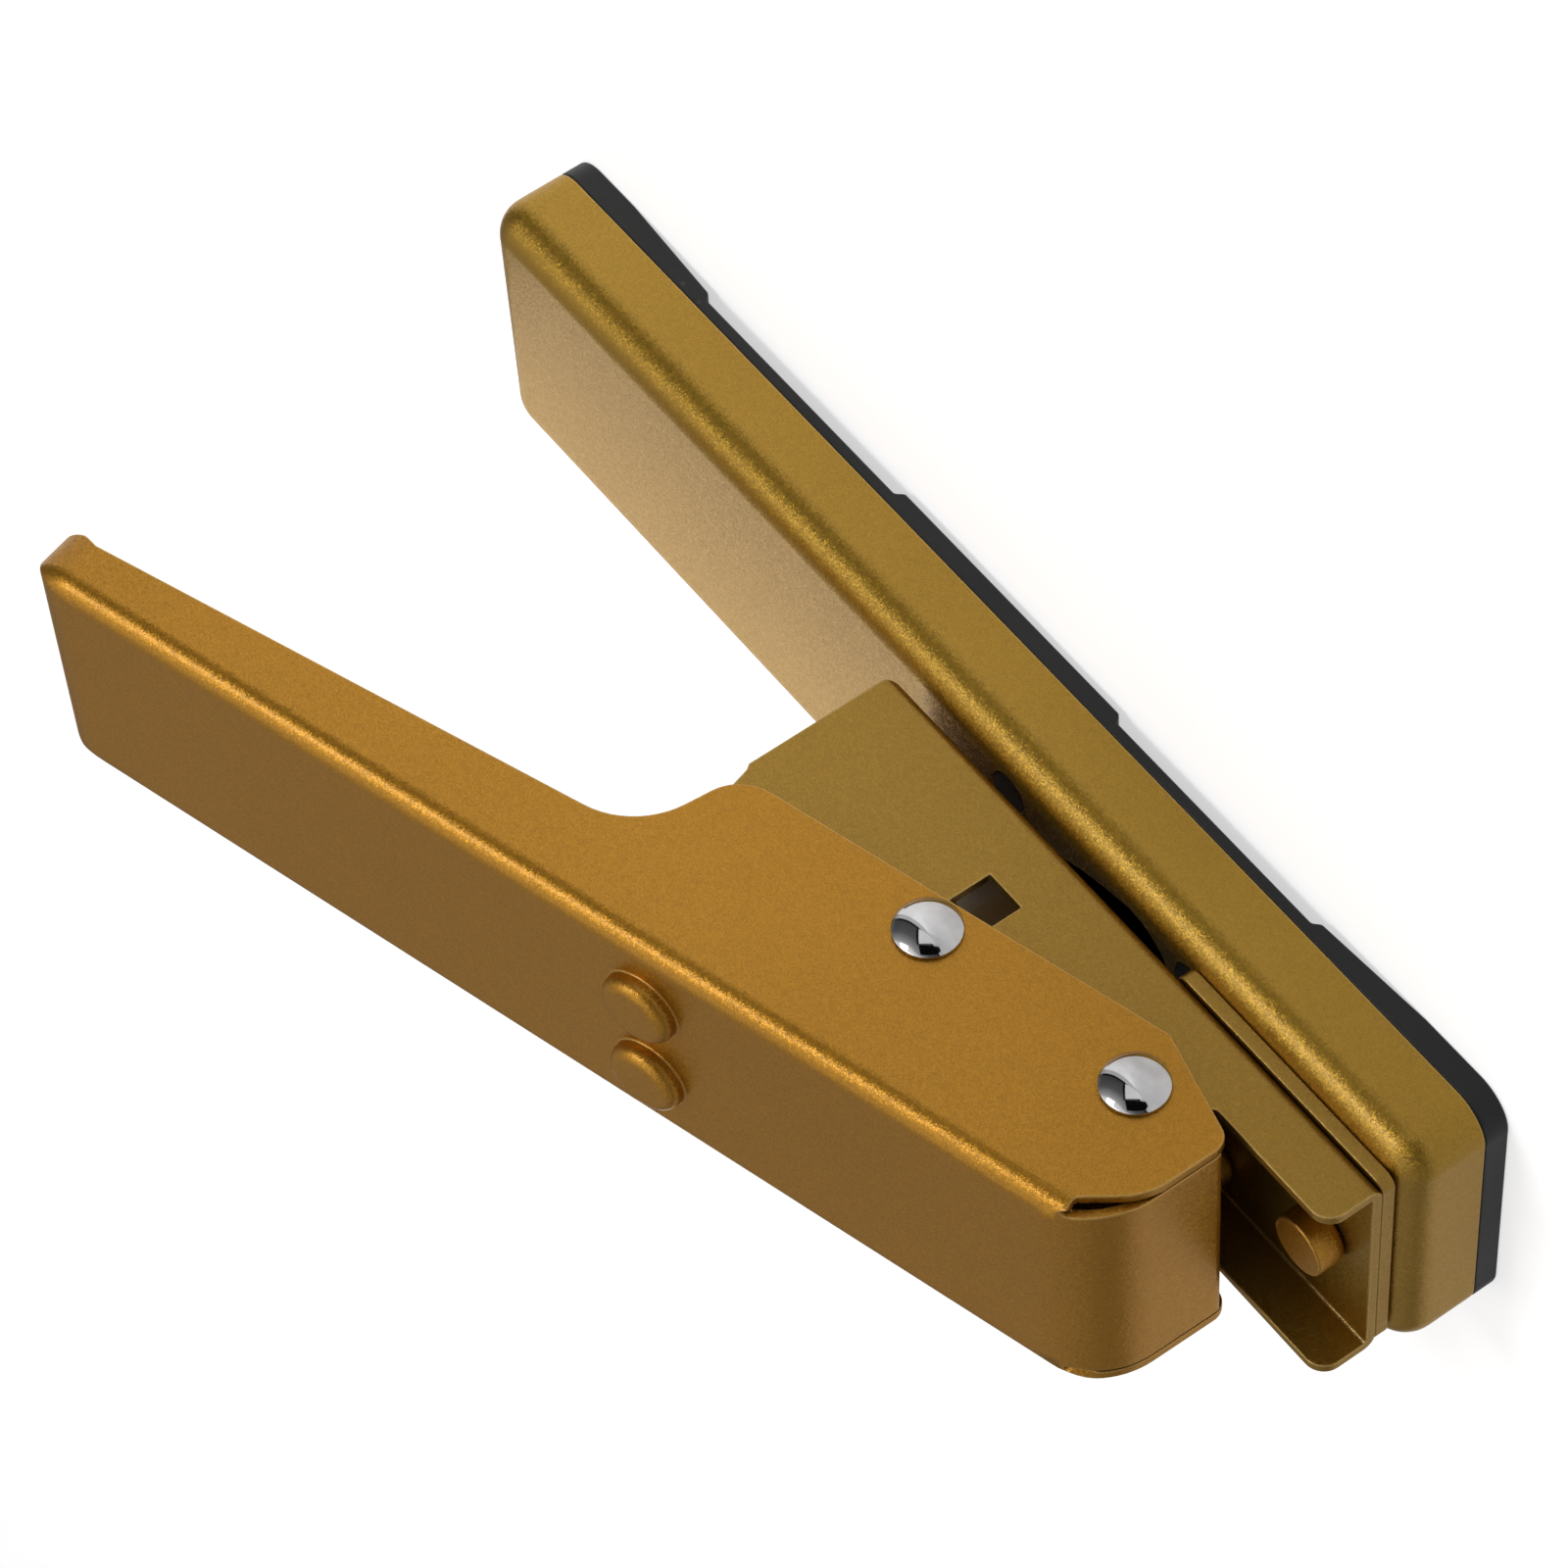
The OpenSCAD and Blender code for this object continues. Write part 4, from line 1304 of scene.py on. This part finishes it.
        with editing(piece):
            pick(piece, Part.EDGE, on_rim)
            for new_radius, new_height in profile[1:]:
                rise = (0, 0, new_height - height)
                bpy.ops.mesh.extrude_edges_move(TRANSFORM_OT_translate={"value": rise})
                share = new_radius / radius
                bpy.ops.transform.resize(value=(share, share, 1), center_override=(x, y, new_height))
                radius, height = new_radius, new_height
            bpy.ops.mesh.edge_face_add()

    def spare(self, m: Vector, n: Vector) -> bool:
        """Whether a face of the block is a cut edge or the wall of a hole, and no part of the skin.

        Args:
            m: its middle.
            n: its normal.

        Returns:
            Whether it goes.
        """
        below = n.z < -0.08
        dimple = self.from_dimple(m) < self.dimple_r + HAIR and m.z < self.web - HAIR
        to_bores = min(math.hypot(m.x, m.z), math.hypot(m.x - self.drive[0], m.z - self.drive[1]))
        bore = abs(n.y) < 0.3 and to_bores < 2
        gap = m.x < -1.9 and 14.2 < abs(m.y) < 15.6 and abs(n.z) < 0.05 and abs(n.x) < 0.999
        shoulder = m.x < -2 and abs(m.y) > 15.1 and abs(n.y) < 0.3
        return below or dimple or bore or gap or shoulder

    def pressing(self) -> None:
        """Models the handle: a folded block cut to its side view becomes a sheet, and gets its dimples."""
        half, web = self.half_width, self.web
        piece = start_block("handle_pressing", (-FAR, -half, -FAR), (self.rear, half, web))
        round_edges(piece, self.corner_r, 14, lambda m, d: upright(m, d) and m.x > 0)
        round_edges(piece, self.fold_r, 8, lambda m, d: m.z > web - HAIR and m.x > 1 - FAR)
        combine(piece, outline_plate("side_view", self.outline(), -FAR, FAR, Axis.ACROSS), Cut.KEEP_SHARED)
        before_flange = outline_plate("setback", self.setback(), -FAR, -self.tongue_half, Axis.ACROSS)
        combine(piece, before_flange, Cut.REMOVE)
        for side in (-1, 1):
            combine(piece, outline_plate("slit", self.slit(side), -FAR, FAR, Axis.UP), Cut.REMOVE)
            drill(piece, (self.dimple_x, side * self.dimple_y, web), self.dimple_r, 8, Axis.UP, 64)
        for x, z in ((0.0, 0.0), self.drive):
            drill(piece, (x, 0, z), self.levels.bore_r, 2 * FAR, Axis.ACROSS)
        drop_faces(piece, self.spare)
        for y in (-self.split_y, self.split_y):
            split(piece, (0, y, 0), (0, 1, 0))
        give_sheet(piece, self.sheet, 0.1)
        drop_faces(piece, lambda m, n: abs(self.from_dimple(m) - self.dimple_r) < 0.05 and abs(n.z) < 0.1)
        skins = (self.dimple_skin(web, 4.5, 1.35), self.dimple_skin(web - self.sheet, 4.0, 0.6))
        for y in (-self.dimple_y, self.dimple_y):
            for profile in skins:
                self.draw_up(piece, y, profile)
        with editing(piece):
            face_outwards()
        soften(piece, 0.15)
        shade(piece, 50)
        piece.rotation_euler = (0, -math.radians(self.open_angle), 0)
        piece.location = (self.levels.pivot[0], 0, self.levels.pivot[1])
        only(piece)
        bake_place()
        self.shop.hand_over(piece, Finish.HANDLE_GOLD, "lever", "gold_coat", "handle")


@dataclass
class Rivets(Assembly):
    """Two-part chrome rivets: a post with a domed head and a domed cap on its far end."""

    seat: float = 16.55
    shank_r: float = 1.75
    shank_edge: float = 0.2
    socket_fit: float = 0.05
    dome_r: float = 3.75
    dome_height: float = 1.9
    edge: float = 0.5
    rings: int = 14

    def dome(self, level: float) -> list[Flat]:
        """Profile of a domed head, from its rim to its middle.

        Args:
            level: height of its flat face along the axis.

        Returns:
            Stations of (radius, height).
        """
        crown, seat_r = self.dome_height - self.edge, self.dome_r - 0.07
        ball = (seat_r**2 + crown**2) / (2 * crown)
        rim = math.asin(seat_r / ball)
        angles = [rim * (1 - i / self.rings) for i in range(self.rings)]
        rings = [(ball * math.sin(a), level + ball * (math.cos(a) - 1) + self.dome_height) for a in angles]
        radius, top = self.dome_r, level + self.edge
        return [(radius - 0.15, level), (radius, level + 0.12), (radius, top - 0.09), *rings]

    def pair(self, name: str, place: Flat, body: str) -> None:
        """Models the post, with its head on the near side, and the cap on the far side.

        Args:
            name: first word in the names of the pieces and of the CAD nodes.
            place: the axis, as (x, z).
            body: the body that both ride on.
        """
        shank, socket = self.shank_r, self.shank_r + self.socket_fit
        tip = self.seat + self.dome_height / 2
        length = tip + self.seat
        post = [(shank - self.shank_edge, 0), (shank, self.shank_edge), (shank, length), *self.dome(length)]
        cap = [(socket, 1.0), (socket, 0), *self.dome(0)]
        for kind, foot, way, profile in (("post", tip, -1, post), ("cap", self.seat, 1, cap)):
            middle = (place[0], foot, place[1])
            piece = turned(f"{name}_rivet_{kind}", middle, Vector((0, way, 0)), profile, 72)
            shade(piece, 35)
            self.shop.hand_over(piece, Finish.CHROME, body, "bright_chrome", f"{name}_{kind}")


@dataclass
class Springs(Assembly):
    """Return springs between the frame floor and the dimples."""

    coil_r: float = 3.25
    wire_r: float = 0.45
    turns: float = 10.5
    seat: Flat = (-7.0, 6.4)
    top: Flat = (-10.6, 56.0)
    steps: int = 22
    wire_sides: int = 10
    pressed_share: float = 0.62

    def wind(self, side: str, y: float) -> None:
        """Winds one spring from a circle of wire, leans it to its dimple and closes its ends.

        Args:
            side: near or far.
            y: its place across the part.
        """
        low, steps = self.levels.floor + self.wire_r, int(self.steps * self.turns)
        piece = start(
            f"{side}_spring", bpy.ops.mesh.primitive_circle_add, vertices=self.wire_sides,
            radius=self.wire_r, location=(self.coil_r, 0, 0), rotation=(math.pi / 2, 0, 0),
        )
        modify(
            piece, "SCREW", axis="Z", angle=2 * math.pi * self.turns, screw_offset=self.top[1] - low,
            iterations=1, steps=steps, render_steps=steps, use_merge_vertices=False,
        )
        with editing(piece):
            bpy.ops.mesh.select_mode(type="EDGE")
            bpy.ops.mesh.select_non_manifold(extend=False)
            bpy.ops.mesh.edge_face_add()
            face_outwards()
        lean = Matrix.Identity(4)
        lean[0][2] = (self.top[0] - self.seat[0]) / (self.top[1] - low)
        piece.data.transform(lean)
        piece.location = (self.seat[0], y, low)
        bake_place()
        shade(piece, 60)
        self.shop.hand_over(piece, Finish.SPRING_STEEL, "base", "spring_steel", f"spring_{side}")
        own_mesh(piece)


# Studio


@dataclass
class Softbox:
    """Flat studio lamp, not seen by the camera."""

    name: str
    place: Place
    aim: Place
    size: Flat
    power: float

    def make(self) -> None:
        """Hangs the lamp."""
        lamp = bpy.data.lights.new(self.name, "AREA")
        lamp.shape = "RECTANGLE"
        lamp.size, lamp.size_y = self.size
        lamp.energy = self.power
        holder = bpy.data.objects.new(self.name, lamp)
        holder.location = self.place
        way = Vector(self.aim) - Vector(self.place)
        holder.rotation_euler = way.to_track_quat("-Z", "Y").to_euler()
        holder.visible_camera = False
        bpy.context.scene.collection.objects.link(holder)


@dataclass(frozen=True)
class Card:
    """Flat shape in front of the part that only reflections show."""

    name: str
    y: float
    points: tuple[Flat, ...]
    glow: float


@dataclass
class Screen:
    """Open round screen with cards, which only reflections show, like the dim room about a product table."""

    name: str = "studio_screen"
    radius: float = 1.6
    height: float = 3.0
    far_glow: Flat = (0.1, 0.45)
    far_top: float = 0.9
    near_stops: tuple[Flat, ...] = (
        (0.11, 0.62), (0.12, 0.006), (0.165, 0.006), (0.185, 0.07), (0.55, 0.12), (0.95, 0.42), (1.2, 1.0),
    )
    near_edge: float = 0.3
    card_sheet: float = 0.002
    cards: tuple[Card, ...] = (
        Card("window", -1.2, ((0.445, 0.2), (-0.12, 0.66), (-0.65, 0.02), (-0.25, 0.02)), 0.85),
        Card("frame", -1.19, ((0.58, 0.13), (0.36, 0.4), (-0.12, 0.8), (-0.125, 0.66), (0.4, 0.2)), 0.005),
        Card(
            "camera", -0.62, ((-0.09, 0.38), (-0.46, 0.0), (-0.62, 0.0), (-0.76, 0.15), (-0.4, 0.64)), 0.004
        ),
    )

    @staticmethod
    def _dress(piece: Piece) -> tuple[Nodes, bpy.types.Node]:
        """Leaves a piece to be seen in gloss alone, black but for its glow.

        Args:
            piece: the piece.

        Returns:
            The helper of its material, and the shader that still needs its glow.
        """
        material, nodes, shader = new_material(piece.name)
        nodes.fill(shader, Base_Color=(0, 0, 0), Specular_IOR_Level=0.0, Emission_Color=(1, 1, 1))
        piece.data.materials.append(material)
        for ray in ("camera", "diffuse", "shadow", "transmission", "volume_scatter"):
            setattr(piece, f"visible_{ray}", False)
        return nodes, shader

    def surround(self) -> None:
        """Stands the screen about the table, with a dark horizon in front and even behind."""
        screen = start(
            self.name, bpy.ops.mesh.primitive_cylinder_add, vertices=64, radius=self.radius,
            depth=self.height, location=(0, 0, self.height / 2), end_fill_type="NOTHING",
        )
        nodes, shader = self._dress(screen)
        along = nodes.along()
        far = nodes.remap(along["Z"], 0.0, self.far_top, *self.far_glow)
        near = self.near_stops[0][1]
        for (low, before), (high, after) in zip(self.near_stops, self.near_stops[1:]):
            share = nodes.remap(along["Z"], low * self.radius, high * self.radius)
            near = nodes.maths("ADD", near, nodes.times(share, after - before))
        front = nodes.remap(along["Y"], -self.near_edge, self.near_edge, 1.0, 0.0)
        behind = nodes.maths("SUBTRACT", 1.0, front)
        glow = nodes.maths("ADD", nodes.times(near, front), nodes.times(far, behind))
        nodes.fill(shader, Emission_Strength=glow)

    def hang_cards(self) -> None:
        """Hangs the window, its dark frame and the camera's dark shape, which the rivets' domes show."""
        for card in self.cards:
            name, back = f"{self.name}_{card.name}", card.y - self.card_sheet
            nodes, shader = self._dress(outline_plate(name, card.points, back, card.y, Axis.ACROSS))
            nodes.fill(shader, Emission_Strength=card.glow)


@dataclass
class Studio:
    """Camera of the photograph, pale floor, even surroundings and soft lamps."""

    camera_place: Place = (-0.3249793, -0.5507599, 0.2373238)
    camera_turn: tuple[float, float, float, float] = (-0.1879664, -0.4111012, -0.4185062, 0.787729)
    lens: float = 145.8514
    ambient: float = 0.42
    floor_lift: float = 0.58
    # shares of painted shadow on the floor, seen in gloss alone: beside the nose, behind the part and in
    # front of it
    nose_painted_shadow: float = 0.4
    behind_painted_shadow: float = 0.35
    side_painted_shadow: float = 0.3
    lamps: tuple[Softbox, ...] = (
        Softbox("key", (0.3, -0.62, 1.0), (0, 0, 0.03), (0.4, 0.28), 2.6),
        Softbox("fold_line", (0.0, -0.45, 0.9), (0, 0, 0.03), (0.5, 0.16), 0.3),
        Softbox("web_glow", (0.067, 0.07, 0.036), (0.067, -0.2, 0.036), (0.14, 0.038), 0.022),
    )

    def camera(self) -> None:
        """Sets up the camera at the photograph's viewing angle."""
        data = bpy.data.cameras.new("photo_camera")
        data.lens = self.lens
        data.sensor_width = 36
        data.sensor_fit = "HORIZONTAL"
        data.clip_start, data.clip_end = 0.05, 20
        holder = bpy.data.objects.new("photo_camera", data)
        holder.location = self.camera_place
        holder.rotation_mode = "QUATERNION"
        holder.rotation_quaternion = Quaternion(self.camera_turn)
        bpy.context.scene.collection.objects.link(holder)
        bpy.context.scene.camera = holder

    @staticmethod
    def shown(nodes: Nodes) -> Socket:
        """Mask of the rays that see the background: camera, gloss and transmission.

        Args:
            nodes: helper of the tree.

        Returns:
            The mask's socket.
        """
        path = nodes.add("ShaderNodeLightPath").outputs
        seen = nodes.maths("MAXIMUM", path["Is Camera Ray"], path["Is Glossy Ray"])
        return nodes.maths("MAXIMUM", seen, path["Is Transmission Ray"])

    def surroundings(self) -> None:
        """Makes the world: an even glow on the part, white where it is seen."""
        world = bpy.data.worlds.new("studio")
        bpy.context.scene.world = world
        world.use_nodes = True
        world.node_tree.nodes.clear()
        nodes = Nodes(world.node_tree)
        both = nodes.add("ShaderNodeMixShader", Fac=self.shown(nodes))
        for slot, strength in zip(both.inputs[1:], (self.ambient, 1.0)):
            glow = nodes.add("ShaderNodeBackground", Color=(1, 1, 1), Strength=strength)
            nodes.feed(slot, glow.outputs[0])
        nodes.add("ShaderNodeOutputWorld", Surface=both.outputs[0])

    def floor_painted_shadow(self, nodes: Nodes) -> Socket:
        """Painted shadow on the floor, seen in gloss alone: how much darker reflections show it beside the
        nose, and behind and in front of the part.

        Args:
            nodes: helper of the floor's tree.

        Returns:
            The mask's socket.
        """
        along = nodes.along()
        x, y = along["X"], along["Y"]
        nose = nodes.remap(x, -0.1, 0.06, self.nose_painted_shadow, 0.0)
        behind = nodes.remap(y, 0.0, 0.03, 0.0, self.behind_painted_shadow)
        behind = nodes.times(behind, nodes.remap(x, -0.05, 0.03, 1.0, 0.0))
        beside = nodes.times(nodes.remap(y, -0.085, -0.045), nodes.remap(y, -0.02, 0.0, 1.0, 0.0))
        middle = nodes.times(nodes.remap(x, -0.13, -0.09), nodes.remap(x, -0.02, 0.02, 1.0, 0.0))
        front = nodes.times(nodes.times(beside, middle), self.side_painted_shadow)
        # dim is the painted shadow's share, in glossy rays alone
        dim = nodes.maths("MAXIMUM", nodes.maths("MAXIMUM", nose, behind), front)
        return nodes.times(dim, nodes.add("ShaderNodeLightPath").outputs["Is Glossy Ray"])

    def floor(self) -> None:
        """Lays the pale floor, which keeps the part's shadow, and paints shadow on it where gloss alone sees
        it.
        """
        floor = start("studio_floor", bpy.ops.mesh.primitive_plane_add, size=8, location=(0, 0, -0.00005))
        material, nodes, shader = new_material("studio_floor")
        # dim: painted shadow on the floor, which darkens its colour and glow in reflections
        dim = self.floor_painted_shadow(nodes)
        tone = nodes.add("ShaderNodeTexNoise", Scale=3.0, Detail=2.0).outputs["Fac"]
        pale = nodes.mix(nodes.times(tone, 0.04), (0.86, 0.86, 0.86), (0.8, 0.8, 0.8))
        glow = nodes.times(self.shown(nodes), self.floor_lift)
        nodes.fill(
            shader, Base_Color=nodes.mix(dim, pale, (0.0, 0.0, 0.0)), Roughness=0.9,
            Emission_Color=(1, 1, 1), Emission_Strength=nodes.times(glow, nodes.maths("SUBTRACT", 1.0, dim)),
        )
        floor.data.materials.append(material)

    def set_up(self) -> None:
        """Builds the whole studio."""
        bpy.context.scene.view_settings.view_transform = "Standard"
        self.camera()
        self.surroundings()
        self.floor()
        screen = Screen()
        screen.surround()
        screen.hang_cards()
        for lamp in self.lamps:
            lamp.make()


# The part


CARRIED_NODES = {
    "frame_rivets": Finish.FRAME_GOLD,
    "die_plate": Finish.DIE_STEEL,
    "punch": Finish.DIE_STEEL,
    "die_screws": Finish.BLACK_AND_PAINTED_SHADE,
    # painted shade: the carrier is black so that the frame's window shows dark inside
    "punch_carrier": Finish.BLACK_AND_PAINTED_SHADE,
    "carrier_rivets": Finish.PLATED,
    "pivot_sleeve": Finish.PLATED,
    "drive_sleeve": Finish.PLATED,
}


def main() -> None:
    """Builds the studio and every sub-assembly in order."""
    logging.basicConfig(level=logging.INFO, format="%(name)s %(message)s")
    Studio().set_up()
    levels, outline, shop = Levels(), Pick(), Paintshop()

    base = Base(levels, shop, outline)
    base.tray()
    base.cover()

    channel = Channel(levels, shop, outline)
    channel.pressing()
    channel.throat()
    channel.rivet()

    Handle(levels, shop).pressing()

    rivets = Rivets(levels, shop)
    rivets.pair("pivot", levels.pivot, "base")
    rivets.pair("drive", levels.drive, "lever")

    springs = Springs(levels, shop)
    springs.wind("near", -springs.seat[1])
    springs.wind("far", springs.seat[1])

    for node, finish in CARRIED_NODES.items():
        shop.coat_node(node, finish)


if __name__ == "__main__":
    main()
